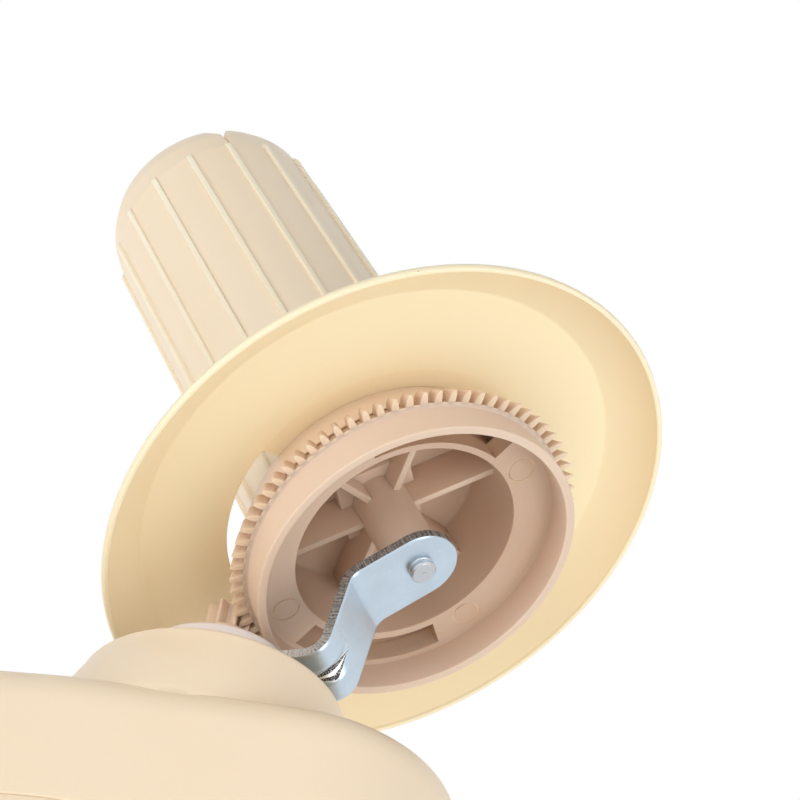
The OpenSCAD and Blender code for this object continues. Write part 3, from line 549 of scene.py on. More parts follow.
# %% Objects, cuts and fitting
def link(name, mesh, material):
    """An object from a bmesh in millimetres, still in its own frame."""
    data = bpy.data.meshes.new(name)
    mesh.to_mesh(data)
    mesh.free()
    made = bpy.data.objects.new(name, data)
    bpy.context.collection.objects.link(made)
    data.materials.append(material)
    for face in data.polygons:
        face.use_smooth = True
    return made


def turned_part(name, corners, finish, segments=96, steps=5):
    """An object turned about Z from an outline of corners."""
    return link(name, lathe(rounded(corners, steps), segments), finish)


def plain(made):
    """The object with its modifiers worked into its mesh."""
    ready = made.evaluated_get(bpy.context.evaluated_depsgraph_get())
    data = bpy.data.meshes.new_from_object(ready)
    made.modifiers.clear()
    made.data = data
    return made


def combine(made, mesh, operation):
    """Works a closed bmesh into an object: UNION, DIFFERENCE or INTERSECT."""
    tool = link("tool", mesh, made.data.materials[0])
    step = made.modifiers.new("combine", "BOOLEAN")
    step.operation, step.solver, step.object = operation, "EXACT", tool
    bpy.context.view_layer.update()
    plain(made)
    bpy.data.objects.remove(tool)
    return made


def carve(made, cutters):
    """Cuts closed bmeshes out of an object."""
    for cutter in cutters:
        combine(made, cutter, "DIFFERENCE")
    return made


def join(main, others):
    """One object from several, kept as separate closed shells in one mesh."""
    mesh = bmesh.new()
    for made in [main] + others:
        mesh.from_mesh(made.data)
    mesh.to_mesh(main.data)
    mesh.free()
    for made in others:
        bpy.data.objects.remove(made)
    return main


def sharpen(made, degrees):
    """Smooth shading that breaks at real edges."""
    made.data.set_sharp_from_angle(angle=math.radians(degrees))


def paint(made, zone, share):
    """Writes a share at each vertex, under the name by which the finish reads it."""
    layer = made.data.attributes.new(zone, "FLOAT", "POINT")
    layer.data.foreach_set("value", [share(*v.co) for v in made.data.vertices])


def fit(made, matrix, body, slot_name, *replaced, sharp=40):
    """Moves a finished piece's mesh to its place in metres and hands it to the frame.

    Its shading breaks at edges that turn by more than `sharp` degrees."""
    sharpen(made, sharp)
    made.data.transform(to_metres @ matrix)
    made.data.update()
    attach(made, body)
    if replaced:
        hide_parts(*replaced)
    print(f"{made.name}: {len(made.data.polygons)} faces on {body}")
    return made


# %% [markdown]
# Ribs and teeth stand in a ring. One is modelled, and a small Geometry Nodes tree turns copies
# of it round the axis: points at the centre, one instance on each, turned by its index.

# %% A ring of copies
def new_tree(name, inputs, output):
    """A Geometry Nodes tree with named inputs, and its two ends."""
    tree = bpy.data.node_groups.new(name, "GeometryNodeTree")
    for label, kind in inputs:
        tree.interface.new_socket(label, in_out="INPUT", socket_type="NodeSocket" + kind)
    tree.interface.new_socket(output, in_out="OUTPUT", socket_type="NodeSocketGeometry")
    return tree, tree.nodes.new("NodeGroupInput"), tree.nodes.new("NodeGroupOutput")


def finish_tree(tree, start, end, instances):
    """Makes the copies real and gives them their finish, as the export needs."""
    real, dress = (tree.nodes.new("GeometryNodeRealizeInstances"),
                   tree.nodes.new("GeometryNodeSetMaterial"))
    tree.links.new(instances, real.inputs[0])
    tree.links.new(real.outputs[0], dress.inputs["Geometry"])
    tree.links.new(start.outputs["Finish"], dress.inputs["Material"])
    tree.links.new(dress.outputs[0], end.inputs[0])
    return tree


def grow(made, tree, values):
    """Puts a tree on an object with its inputs set, and works the result into the mesh."""
    layer = made.modifiers.new(tree.name, "NODES")
    layer.node_group = tree
    for item in tree.interface.items_tree:
        if item.in_out == "INPUT" and item.name in values:
            layer[item.identifier] = values[item.name]
    bpy.context.view_layer.update()
    return plain(made)


def ring_tree():
    tree, start, end = new_tree("ring_of_copies", (("One", "Geometry"), ("Count", "Int"),
                                ("First angle", "Float"), ("Finish", "Material")), "Ring")
    make, wire = tree.nodes.new, tree.links.new
    points, place_all = make("GeometryNodePoints"), make("GeometryNodeInstanceOnPoints")
    index, divide, angle, spin = (make("GeometryNodeInputIndex"), make("ShaderNodeMath"),
                                  make("ShaderNodeMath"), make("ShaderNodeCombineXYZ"))
    divide.operation, angle.operation = "DIVIDE", "MULTIPLY_ADD"
    wire(start.outputs["Count"], points.inputs["Count"])
    wire(index.outputs[0], divide.inputs[0])
    wire(start.outputs["Count"], divide.inputs[1])
    wire(divide.outputs[0], angle.inputs[0])
    angle.inputs[1].default_value = 2 * math.pi
    wire(start.outputs["First angle"], angle.inputs[2])
    wire(angle.outputs[0], spin.inputs["Z"])
    wire(points.outputs[0], place_all.inputs["Points"])
    wire(start.outputs["One"], place_all.inputs["Instance"])
    wire(spin.outputs[0], place_all.inputs["Rotation"])
    return finish_tree(tree, start, end, place_all.outputs[0])


copies = ring_tree()


def ring_of(one, count, first_degrees, finish):
    """Turns copies of a piece round Z and returns them as one plain mesh."""
    return grow(one, copies, {"Count": count, "First angle": math.radians(first_degrees),
                              "Finish": finish})


print("ring tree inputs:", [i.name for i in copies.interface.items_tree if i.in_out == "INPUT"])

# %% [markdown]
# The spool is one thin moulding: a tapered tube with low ribs that grip the yarn, a rolled-in
# shoulder with an open end, and a dished flange. Its whole wall is one outline turned about the
# axle. Two long windows at the foot of the tube, and a notch with a slit in the tube's end for
# the yarn's tail, are cut afterwards. One rib is drawn, with a soft crest, and copied in a ring.

# %% Spool wall
WINDOW_STARTS, WINDOW_SPAN = (2, 182), 60
NOTCH_TURN = 119.5
spool_wall = rounded([
    (37.1, 4.5, 0.25), (37.8, 4.55, 0.0), (56.6, 7.7, 0.9), (66.15, 0.6, 0.5), (66.5, 0.05, 0.35),
    (67.45, 0.0, 0.4), (67.7, 0.9, 0.5), (67.4, 1.8, 0.5), (58.0, 9.75, 2.5), (37.1, 7.9, 0.25),
    (31.5, 7.9, 1.0), (28.2, 9.2, 1.2), (27.9, 12.0, 0.0), (25.75, 112.4, 1.5), (24.9, 118.6, 8.0),
    (22.65, 123.3, 0.5), (21.6, 123.3, 0.5), (23.5, 118.2, 7.0), (24.4, 112.0, 1.0),
    (26.55, 14.0, 0.0), (26.7, 12.0, 0.0), (26.7, 4.5, 0.3)], steps=6)
spool = link("spool_moulding", lathe(spool_wall, 256), spool_plastic)
windows = [sector(29.2, 37.1, start, WINDOW_SPAN, 3.0, 12.0) for start in WINDOW_STARTS]
notch_edge = [(-0.3, 112.5), (0.3, 112.5), (0.5, 118.8), (3.6, 124.5), (-3.6, 124.5), (-0.5, 118.8)]
outward = Matrix(((0, 0, 1, 0), (1, 0, 0, 0), (0, 1, 0, 0), (0, 0, 0, 1)))   # a slab turned to face X
notch = placed(slab(notch_edge, 15.0, 32.0), turned_by(NOTCH_TURN) @ outward)
carve(spool, windows + [notch])
print("spool wall:", len(spool_wall), "points in the outline")

# %% Ribs
RIB_COUNT, RIB_FIRST = 16, 5
rib = bmesh.new()
rib_side = [(26.6, 9.2), (28.85, 9.2), (26.5, 112.2), (26.2, 112.9), (25.0, 112.9)]
rib_half = [0.9, 0.68, 0.68, 0.75, 0.9]
skin_over(rib, [[rib.verts.new((x, side * half, z)) for (x, z), half in zip(rib_side, rib_half)]
                for side in (-1, 1)])
crest = [e for e in rib.edges if min(v.co.x for v in e.verts) > 26.1 and
         (e.verts[0].co.y * e.verts[1].co.y > 0 or min(v.co.z for v in e.verts) > 100)]
bmesh.ops.bevel(rib, geom=crest, offset=0.28, segments=3, affect="EDGES", profile=0.5)
ribs = ring_of(link("rib", rib, spool_plastic), RIB_COUNT, RIB_FIRST, spool_plastic)
join(spool, [ribs])
print("ribs:", RIB_COUNT, "from", RIB_FIRST, "degrees")

# %% [markdown]
# The flange is painted yellower than its tube. The sloping wall of the dish gets painted shade,
# darker and yellower on the side away from the lamps. The rim and the crests of the ribs get a
# painted highlight. Three zones on the vertices say where each holds.

# %% Colour zones of the spool
DISH_R, WALL_INNER_R, WALL_OUTER_R, RIM_FROM_R = 37.0, 57.2, 66.2, 66.3
RIB_FOOT_Z, RIB_TOP_Z, CREST_R, CREST_TAPER = 9.2, 112.5, 28.5, 0.0214
SPOOL_DIM_SIDE = math.radians(188)


def dish_share(x, y, z):
    return 1.0 if math.hypot(x, y) > DISH_R else 0.0


# Painted shade on the sloping wall of the dish, darker on the side away from the lamps.
def painted_wall_shade_share(x, y, z):
    shaded = max(0.0, math.cos(math.atan2(y, x) - SPOOL_DIM_SIDE))
    return 0.65 * shaded ** 2 if WALL_INNER_R < math.hypot(x, y) < WALL_OUTER_R and z < 9.0 else 0.0


# A painted highlight on the rim and on the crests of the ribs.
def painted_crest_highlight_share(x, y, z):
    if math.hypot(x, y) > RIM_FROM_R:
        return 0.4
    crest = CREST_R - CREST_TAPER * (z - RIB_FOOT_Z)
    return 1.0 if RIB_FOOT_Z + 0.3 < z < RIB_TOP_Z and math.hypot(x, y) > crest else 0.0


for zone, share in (("dish", dish_share), ("hollow", painted_wall_shade_share), ("painted_glow", painted_crest_highlight_share)):
    paint(spool, zone, share)
fit(spool, spool_frame @ half_turn, "spool", "spool_cream", "spool", sharp=32)

# %% [markdown]
# The gear core is a separate moulding in a warmer plastic, pushed into the spool from below.
# Turning its outline gives the lip, the toothed band, the neck, the bore and the end wall. Two
# long pockets open through the band's floor, and the mould's ejector pins left a fine ring in
# it at three places, which is cut as a groove.

# %% Gear core
ROOT_R, FRONT, BACK = 38.294, -9.0, -5.281
POCKET_STARTS, POCKET_SPAN = (96, 277), 65
EJECTOR_TURNS, EJECTOR_AT = (176.6, 261.7, 0.9), 30.5
core_wall = rounded([
    (26.2, -10.0, 0.3), (35.4, -10.0, 0.35), (35.85, -17.5, 0.25), (37.95, -17.5, 0.3),
    (37.15, -9.2, 0.3), (ROOT_R, FRONT, 0.1), (36.05, BACK - 0.2, 0.0), (36.45, BACK - 0.2, 0.0),
    (36.25, BACK + 0.5, 0.15), (32.59, 4.5, 0.2), (30.99, 4.5, 0.2), (34.55, BACK + 0.5, 0.2),
    (27.7, BACK + 0.5, 0.3), (27.7, 4.5, 0.2), (26.7, 4.5, 0.2), (26.7, 11.0, 0.3), (25.9, 12.0, 0.3),
    (25.9, 12.5, 0.3), (3.05, 12.5, 0.0), (3.05, 10.5, 0.0), (25.4, 10.5, 0.8)], steps=4)
core = link("gear_core_moulding", lathe(core_wall, 288), core_plastic)
groove = [(2.9, -10.2), (3.15, -10.2), (3.15, -9.8), (2.9, -9.8)]
carve(core, [sector(27.9, 34.15, start, POCKET_SPAN, -12, -4.2) for start in POCKET_STARTS]
      + [placed(lathe(groove, 64), turned_by(turn) @ Matrix.Translation((EJECTOR_AT, 0, 0)))
         for turn in EJECTOR_TURNS])
print("gear core wall:", len(core_wall), "points in the outline")

# %% [markdown]
# The inside of the bore stands on the end wall. The column takes the axle, two long webs and four
# fins brace it, and the plinth spreads the load where they meet.

# %% Inside of the gear core
WEB_TURN, FIN_TURNS = 10, (58, 122, 238, 302)
column = turned_part("column", [
    (3.05, -16, 0.3), (6.3, -16, 0.35), (6.3, 11.0, 0.0), (3.05, 11.0, 0.0)], core_plastic)


def inner_wall(outline, front, back, angle, bevel=0.2):
    """A wall of the inside, drawn flat and turned into place about the axle."""
    sheet = placed(slab(outline, front, back, bevel=bevel), turned_by(angle))
    return link("inner_wall", sheet, core_plastic)


def bar(inner, outer, thick=1.6):
    """The section of a flat wall that runs outward from the axle."""
    return [(inner, -thick / 2), (outer, -thick / 2), (outer, thick / 2), (inner, thick / 2)]


webs = [inner_wall(bar(5.5, 26.0), 0.0, 11.0, WEB_TURN + turn) for turn in (0, 180)]
webs += [inner_wall(bar(5.8, 26.0), 1.0, 11.0, WEB_TURN + turn) for turn in FIN_TURNS]
webs.append(inner_wall([(-9, -9), (9, -9), (9, 9), (-9, 9)], 6.4, 11.0, WEB_TURN, bevel=0.3))
join(core, [column] + webs)
print("walls inside the core:", len(webs))

# %% [markdown]
# The ring gear's teeth lean, because they have to lie along the upright rotor axis where they
# meet the small fixed pinion. One tooth is a section swept along that slanted line and cut flat
# at the front and back, and the ring of copies does the rest.

# %% Ring gear
TOOTH_COUNT, TOOTH_FIRST, TOOTH_EDGE = 72, 2.9, 0.12
section = [(-0.6, 0.98), (0.0, 0.93), (1.4, 0.8), (2.15, 0.64), (2.6, 0.42), (2.79, 0.16)]
section = [(x, -y) for x, y in section] + [(x, y) for x, y in reversed(section)]
tooth = bmesh.new()
slant = Vector((-math.sin(TILT), 0, math.cos(TILT)))


def cut_at(plane):
    """The tooth's section, slid along the slanted line to a level plane."""
    points = [Vector((ROOT_R + x * math.cos(TILT), y, FRONT + x * math.sin(TILT))) for x, y in section]
    return [tooth.verts.new(point + slant * ((plane - point.z) / slant.z)) for point in points]


skin_over(tooth, [cut_at(FRONT), cut_at(BACK)])
front_edges = [e for e in tooth.edges if all(abs(v.co.z - FRONT) < 1e-4 for v in e.verts)]
bmesh.ops.bevel(tooth, geom=front_edges, offset=TOOTH_EDGE, segments=2, affect="EDGES")
join(core, [ring_of(link("tooth", tooth, core_plastic), TOOTH_COUNT, TOOTH_FIRST, core_plastic)])

# %% [markdown]
# Shade is painted into the gear core's colour: the gaps, pockets, bore and the lip's floor are
# painted darker and golden brown, more so on the side away from the lamps. The teeth's front faces
# and the pockets' floors get a painted glow.

# %% Painted shade and glow on the gear core
CORE_DIM_SIDE = math.radians(195)
GAP_R, GAP_DEEP, GAP_FADE_R, GAP_FADE = 36.0, 2.0, 38.0, 3.5
POCKET_INNER_R, POCKET_OUTER_R, TOOTH_FROM_R = 27.8, 34.3, 38.2
COLUMN_R, BORE_R, END_WALL_Z = 6.6, 26.3, 9.5
FLOOR_INNER_R, FLOOR_OUTER_R, LIP_FLOOR_Z = 26.0, 35.8, -9.6


def in_pocket(r, z):
    return POCKET_INNER_R < r < POCKET_OUTER_R and -9.9 < z < BACK + 0.8


def hollow_share(x, y, z):
    """How much painted shade a point of the core gets: deeper in a gap, and in a pocket, the bore or on
    the lip's floor, from 0 to 1.
    """
    r = math.hypot(x, y)
    if r > GAP_R and FRONT < z < BACK + 0.3:
        fade = min(1.0, max(0.35, 1 - (r - GAP_FADE_R) / GAP_FADE))
        return 0.7 * min(1.0, (z - FRONT) / GAP_DEEP) ** 0.6 * fade
    if in_pocket(r, z):
        return 0.6
    if COLUMN_R < r < BORE_R and z > END_WALL_Z:
        return 0.3
    if FLOOR_INNER_R < r < FLOOR_OUTER_R and z < LIP_FLOOR_Z:
        return 0.3 + 0.2 * math.cos(math.atan2(y, x) - CORE_DIM_SIDE)
    return 0.0


# A painted glow on the teeth's front faces and on the pockets' floors.
def painted_glow_share(x, y, z):
    r = math.hypot(x, y)
    if r > TOOTH_FROM_R and FRONT - 0.2 < z < FRONT + 0.05:
        return 0.75
    return 0.8 if in_pocket(r, z) else 0.0


paint(core, "hollow", hollow_share)
paint(core, "painted_glow", painted_glow_share)
fit(core, spool_frame @ half_turn, "spool", "core_tan", "gear_core", sharp=30)

# %% [markdown]
# The arm is a flat strip bent twice. It is easiest to think of the blank before it was bent: a
# straight strip with round ends. Each point of the blank has a length along the strip and a
# place across it, and the bent centre line says where that goes. The same two numbers become the
# UV map, so the finish can follow the strip round its bends. A short gusset is pressed into the
# lower bend to stiffen it. It is widest at the bend, and its leaf shape is what the dart zone
# holds: 0 on the ridge, 1 and -1 on its two sides.

# %% Bent centre line
STRIP_W, STRIP_T = 17.6, 2.5
BEND = 5.25
pin_end, upper, lower, hub_end = (Vector(v) for v in (
    (43.441, 98.335), (31.168, 90.577), (28.4, 69.55), (0.0, 69.55)))


def bent_line(corners, radius):
    """Straight runs and arcs as (length, start, direction, curvature) pieces."""
    runs, at = [], corners[0]
    for i in range(1, len(corners) - 1):
        u = (corners[i] - corners[i - 1]).normalized()
        v = (corners[i + 1] - corners[i]).normalized()
        turn = u.angle_signed(v)
        reach = radius * math.tan(abs(turn) / 2)
        stop = corners[i] - u * reach
        runs.append(((stop - at).length, at, u, 0.0))
        runs.append((radius * abs(turn), stop, u, -turn / (radius * abs(turn))))
        at = corners[i] + v * reach
    runs.append(((corners[-1] - at).length, at, (corners[-1] - at).normalized(), 0.0))
    return runs


line = bent_line([pin_end, upper, lower, hub_end], BEND)
line_length = sum(run[0] for run in line)


def along(length):
    """Place and direction on the centre line at a length from the pin."""
    for k, (size, start, u, bend) in enumerate(line):
        if length <= size or k == len(line) - 1:
            if bend == 0.0:
                return start + u * length, u
            angle = bend * length
            side = Vector((-u.y, u.x))
            at = start + u * (math.sin(angle) / bend) + side * ((1 - math.cos(angle)) / bend)
            return at, (u * math.cos(angle) + side * math.sin(angle))
        length -= size


bend_at = sum(run[0] for run in line[:3]) + line[3][0] / 2
print("strip length", round(line_length + STRIP_W, 1), "mm, lower bend at", round(bend_at, 1))

# %% Section of the strip
strip = bmesh.new()
uv = strip.loops.layers.uv.new("strip")
dart = strip.verts.layers.float.new("dart")
half = STRIP_W / 2
stations = [-half * math.cos(math.pi / 2 * k / 16) for k in range(16)]
stations += list(np.linspace(0, line_length, 110))
stations += [line_length + half * math.sin(math.pi / 2 * k / 16) for k in range(1, 17)]
across = list(np.linspace(-1, 1, 41))
GUSSET_REACH, GUSSET_HALF, GUSSET_DEPTH = 6.2, 2.7, 1.68
EDGE_BREAK = 0.3


def strip_ring(length):
    """The strip's section at a length: its two faces, point by point, with edges broken."""
    over = max(0.0, -length, length - line_length)
    reach = math.sqrt(max(half * half - over * over, 1e-6))
    at, u = along(length)
    side = Vector((-u.y, u.x))
    ring = []
    for face, order in ((1, across), (-1, across[::-1])):
        for share in order:
            y = share * reach
            edge = reach - abs(y)
            height = face * STRIP_T / 2
            if edge < EDGE_BREAK:
                height -= face * (EDGE_BREAK - edge) * (0.9 if face > 0 else 0.35)
            near_bend = 1 - abs(length - bend_at) / GUSSET_REACH
            press = max(0.0, near_bend) * max(0.0, 1 - abs(y) / GUSSET_HALF)
            height -= GUSSET_DEPTH * (1 - (1 - press) ** 2)
            place = at + side * height
            made = strip.verts.new((place.x, y, place.y))
            leaf = GUSSET_HALF * near_bend
            made[dart] = max(-3.0, min(3.0, y / leaf)) if leaf > 0.05 else 3.0
            ring.append((made, length, y))
    return ring


print("stations along the strip:", len(stations))

# %% Arm
rings = [strip_ring(length) for length in stations]
per = len(rings[0])
for one, two in zip(rings, rings[1:]):
    for i in range(per):
        j = (i + 1) % per
        face = strip.faces.new((one[i][0], one[j][0], two[j][0], two[i][0]))
        face.material_index = 1 if i % len(across) == len(across) - 1 else 0
        for loop, corner in zip(face.loops, (one[i], one[j], two[j], two[i])):
            loop[uv].uv = (corner[1] * MM, corner[2] * MM)
for ring in (rings[0], rings[-1]):
    strip.faces.new([v for v, _, _ in ring])
bmesh.ops.remove_doubles(strip, verts=strip.verts, dist=1e-4)
bmesh.ops.recalc_face_normals(strip, faces=strip.faces)
arm = link("bent_arm", strip, strip_zinc)
arm.data.materials.append(edge_steel)
fit(arm, arm_frame, "rotor", "zinc_steel", "arm_strap", sharp=35)

# %% [markdown]
# The spool's axle is a turned pin. Its end stands two millimetres proud of the arm, with a small
# chamfer, a shallow groove beside the arm and a centre mark from the lathe.

# %% Axle pin
pin = turned_part("axle_pin", [
    (0.0, -20.75, 0), (0.22, -20.78, 0), (0.34, -20.98, 0.05), (2.6, -21.0, 0.12),
    (3.0, -20.6, 0.12), (3.0, -19.75, 0.1), (2.72, -19.6, 0.1), (2.72, -19.3, 0.1),
    (3.0, -19.15, 0.1), (3.0, 17.5, 0.3), (0.0, 17.5, 0)], turned)
fit(pin, spool_frame, "rotor", "turned_steel", "spool_pin")

# %% [markdown]
# The body is a long box in plan, round at both ends and tapering to the clamp. Its upper edge is
# a long soft shoulder, deeper than it is wide, that the light runs along. Rings of the same
# outline, drawn in step by step, make the wall, the shoulder and the top. The boss is a cone on a
# larger foot that is set back towards the clamp. Both are hollow, because the gears turn inside,
# so the outer forms are joined and the inner ones cut away, as the mould's core would.

# %% Body outline
BODY_W, TAIL_W, TAIL_LEN, NOSE_LEN = 70.4, 46.0, 26.0, 58.5
half_body, half_tail = BODY_W / 2, TAIL_W / 2
nose_at, tail_at, shoulder_at = ROTOR_X + NOSE_LEN - half_body, half_tail - TAIL_LEN, ROTOR_X - 25
taper = math.asin((half_body - half_tail) / (shoulder_at - tail_at))


def body_outline(inset):
    """The body's outline in plan, drawn in by an inset."""
    quarter = math.pi / 2
    return (arc(nose_at, half_body - inset, -quarter, quarter, 96)
            + arc(shoulder_at, half_body - inset, quarter, quarter + taper, 8)
            + arc(tail_at, half_tail - inset, quarter + taper, 3 * quarter - taper, 72)
            + arc(shoulder_at, half_body - inset, 3 * quarter - taper, 3 * quarter, 8))


def stack(levels, outline):
    """A closed shell through outlines at rising heights, given as (inset, height)."""
    mesh = bmesh.new()
    return skin_over(mesh, [[mesh.verts.new((x, y, z)) for x, y in outline(inset)]
                            for inset, z in levels])


print("body outline:", len(body_outline(0)), "points")

# %% Shoulder and boss
BASE_Z, PARTING_Z, TOP_Z, BOSS_Z, SHELL_WALL = 5.0, 12.5, 45.5, 64.0, 2.4
EDGE_IN, EDGE_DROP = 5.0, 9.0
GUIDE_X = 32
BOSS_FOOT_R, BOSS_FOOT_BACK = 33.4, 4.2
CONE_FOOT_R, CONE_TOP_R, CONE_BACK, CONE_SWELL = 33.25, 29.8, 4.1, 0.25
BOSS_EDGE = 1.6


def shoulder(inset, top, steps=12):
    """The levels of the soft edge under a top, as (inset, height)."""
    turns = [math.pi / 2 * k / steps for k in range(steps + 1)]
    return [(inset + EDGE_IN * (1 - math.cos(t)), top - EDGE_DROP * (1 - math.sin(t))) for t in turns]


def boss_form(inset, top, foot_z, steps=8):
    """The boss as a closed shell: upright at the foot, a cone above, a small soft top edge."""
    cone_z, edge_z = TOP_Z + 0.5, top - BOSS_EDGE
    levels = [(BOSS_FOOT_R, BOSS_FOOT_BACK, foot_z), (BOSS_FOOT_R, BOSS_FOOT_BACK, TOP_Z - 0.4),
              (CONE_FOOT_R, CONE_BACK, cone_z)]
    for share in [k / 6 for k in range(1, 7)]:
        swell = CONE_SWELL * math.sin(math.pi * share)
        levels.append((CONE_FOOT_R + (CONE_TOP_R - CONE_FOOT_R) * share + swell,
                       CONE_BACK * (1 - share), cone_z + (edge_z - cone_z) * share))
    for t in [math.pi / 2 * k / steps for k in range(1, steps + 1)]:
        levels.append((CONE_TOP_R - BOSS_EDGE * (1 - math.cos(t)), 0.0,
                       edge_z + BOSS_EDGE * math.sin(t)))
    mesh = bmesh.new()
    whole = 2 * math.pi * 127 / 128
    return skin_over(mesh, [[mesh.verts.new((x, y, z)) for x, y in
                             arc(ROTOR_X - back, radius - inset, 0, whole, 127)]
                            for radius, back, z in levels])


print("boss from", TOP_Z, "to", BOSS_Z, "mm")

# %% Upper casing
outside = [(0.35, PARTING_Z), (0.0, PARTING_Z + 0.35)] + shoulder(0.0, TOP_Z)
inside = [(SHELL_WALL, PARTING_Z - 1)] + shoulder(SHELL_WALL, TOP_Z - SHELL_WALL)
shell = link("body_shell", stack(outside, body_outline), shell_plastic)
combine(shell, boss_form(0.0, BOSS_Z, TOP_Z - 6), "UNION")
carve(shell, [stack(inside, body_outline),
              boss_form(SHELL_WALL, BOSS_Z - SHELL_WALL, TOP_Z - 5.5),
              drum(ROTOR_X, 0, 8.0, 50, 70), drum(GUIDE_X, 0, 5.0, 30, 60)])
fit(shell, as_drawn, "base", "shell_cream", "housing_upper", sharp=36)

# %% [markdown]
# The bottom cover closes the body with a thin seam. Its lower edge is softened, and it has seats
# for the two shafts and countersunk holes for the seven screws.

# %% Cover
SCREW_SPOTS = [(0, 17.6), (0, -17.6), (56, 20), (56, -20), (168.5, 21), (168.5, -21), (189.5, 0)]
CRANK_X, SEAT_Z = 108.0, 15.7
cover_wall = [(2.4, BASE_Z), (1.2, BASE_Z + 0.25), (0.35, BASE_Z + 1.0), (0.0, BASE_Z + 2.2),
              (0.0, PARTING_Z - 0.4), (0.3, PARTING_Z - 0.1)]
cover = link("body_cover", stack(cover_wall, body_outline), cover_plastic)
carve(cover, [stack([(SHELL_WALL, BASE_Z + 2.8), (SHELL_WALL, PARTING_Z + 1)], body_outline)])
for x, radius in ((ROTOR_X, 11), (CRANK_X, 9)):
    combine(cover, drum(x, 0, radius, BASE_Z + 0.5, SEAT_Z), "UNION")
carve(cover, [drum(CRANK_X, 0, 6.0, 0, 30), drum(ROTOR_X, 0, 8.0, 9.5, 30), drum(ROTOR_X, 0, 3.0, 0, 30),
              drum(ROTOR_X, 0, 7.0, 0, 8.0)] + [drum(x, y, 3.2, 0, 7.5, 40) for x, y in SCREW_SPOTS])
fit(cover, as_drawn, "base", "cover_cream", "housing_lower", sharp=36)

# %% [markdown]
# The seven cover screws are one pan head screw. A second small tree puts a copy of it on each
# point of a mesh that holds nothing but their places, so moving a point moves a screw.

# %% Screws on points
def on_points_tree():
    tree, start, end = new_tree("copies_on_points", (("Places", "Geometry"), ("Screw", "Object"),
                                ("Turn step", "Float"), ("Finish", "Material")), "Screws")
    make, wire = tree.nodes.new, tree.links.new
    info, spread = make("GeometryNodeObjectInfo"), make("GeometryNodeInstanceOnPoints")
    index, angle, spin = (make("GeometryNodeInputIndex"), make("ShaderNodeMath"),
                          make("ShaderNodeCombineXYZ"))
    angle.operation = "MULTIPLY"
    wire(start.outputs["Screw"], info.inputs["Object"])
    wire(start.outputs["Places"], spread.inputs["Points"])
    wire(info.outputs["Geometry"], spread.inputs["Instance"])
    wire(index.outputs[0], angle.inputs[0])
    wire(start.outputs["Turn step"], angle.inputs[1])
    wire(angle.outputs[0], spin.inputs["Z"])
    wire(spin.outputs[0], spread.inputs["Rotation"])
    return finish_tree(tree, start, end, spread.outputs[0])


on_points = on_points_tree()


def copies_at(name, one, spots, turn_step, finish):
    """Copies of a piece at the given places, as one plain mesh."""
    places = bmesh.new()
    for spot in spots:
        places.verts.new(spot)
    made = grow(link(name, places, finish), on_points,
                {"Screw": one, "Turn step": turn_step, "Finish": finish})
    bpy.data.objects.remove(one)
    return made


def cross(z0, z1, reach=1.7, half=0.34):
    """The recess of a cross-head screw."""
    quarter = [(half, -reach), (half, -half), (reach, -half)]
    points = []
    for _ in range(4):
        points += quarter
        quarter = [(-y, x) for x, y in quarter]
    return slab(points, z0, z1)


screw = turned_part("screw", [
    (0.0, 0.0, 0.0), (1.6, 0.05, 1.0), (2.9, 0.75, 0.5), (3.0, 2.0, 0.15), (1.5, 2.0, 0.2),
    (1.5, 17.6, 0.2), (0.0, 18.0, 0.0)], zinc, 48, steps=4)
carve(screw, [cross(-0.5, 0.9)])
sharpen(screw, 30)
screws = copies_at("cover_screws", screw, [(x, y, BASE_Z + 0.5) for x, y in SCREW_SPOTS], 0.7, zinc)
fit(screws, as_drawn, "base", "zinc_steel", "housing_screws", sharp=30)

# %% [markdown]
# The hub is two white discs screwed together through the strap. The lower one carries the strap
# and the upper one has a channel for it. Their rims are softly rounded, as tumbled nylon is.

# %% Hub
HUB_SCREW_R = 10.5
disc = turned_part("hub_disc", [
    (6.0, 64.3, 0.2), (17.4, 64.3, 0.9), (17.4, 68.3, 0.5), (6.0, 68.3, 0.2)], hub_plastic, 160)
fit(disc, arm_frame, "rotor", "hub_white", "rotor_hub")
cap = turned_part("hub_lid", [
    (3.5, 68.3, 0.0), (17.4, 68.3, 0.3), (17.4, 74.4, 1.3), (4.6, 74.4, 0.4),
    (3.5, 73.4, 0.3)], hub_plastic, 160)
channel = arc(0, 9.0, math.pi / 2, 3 * math.pi / 2, 32) + [(40, -9.0), (40, 9.0)]
carve(cap, [slab(channel, 67, 70.85), drum(0, 0, 6.02, 70, 73.2),
            drum(HUB_SCREW_R, 0, 2.8, 72.4, 80), drum(-HUB_SCREW_R, 0, 2.8, 72.4, 80),
            drum(HUB_SCREW_R, 0, 1.7, 66, 73), drum(-HUB_SCREW_R, 0, 1.7, 66, 73)])
fit(cap, arm_frame, "rotor", "hub_white", "hub_cap", sharp=36)

# %% [markdown]
# The sun pinion stands still on top of the spindle: a plain collar with eight stubby teeth, in
# the same plastic as the ring gear that rolls round it. Its tooth is drawn once and copied.

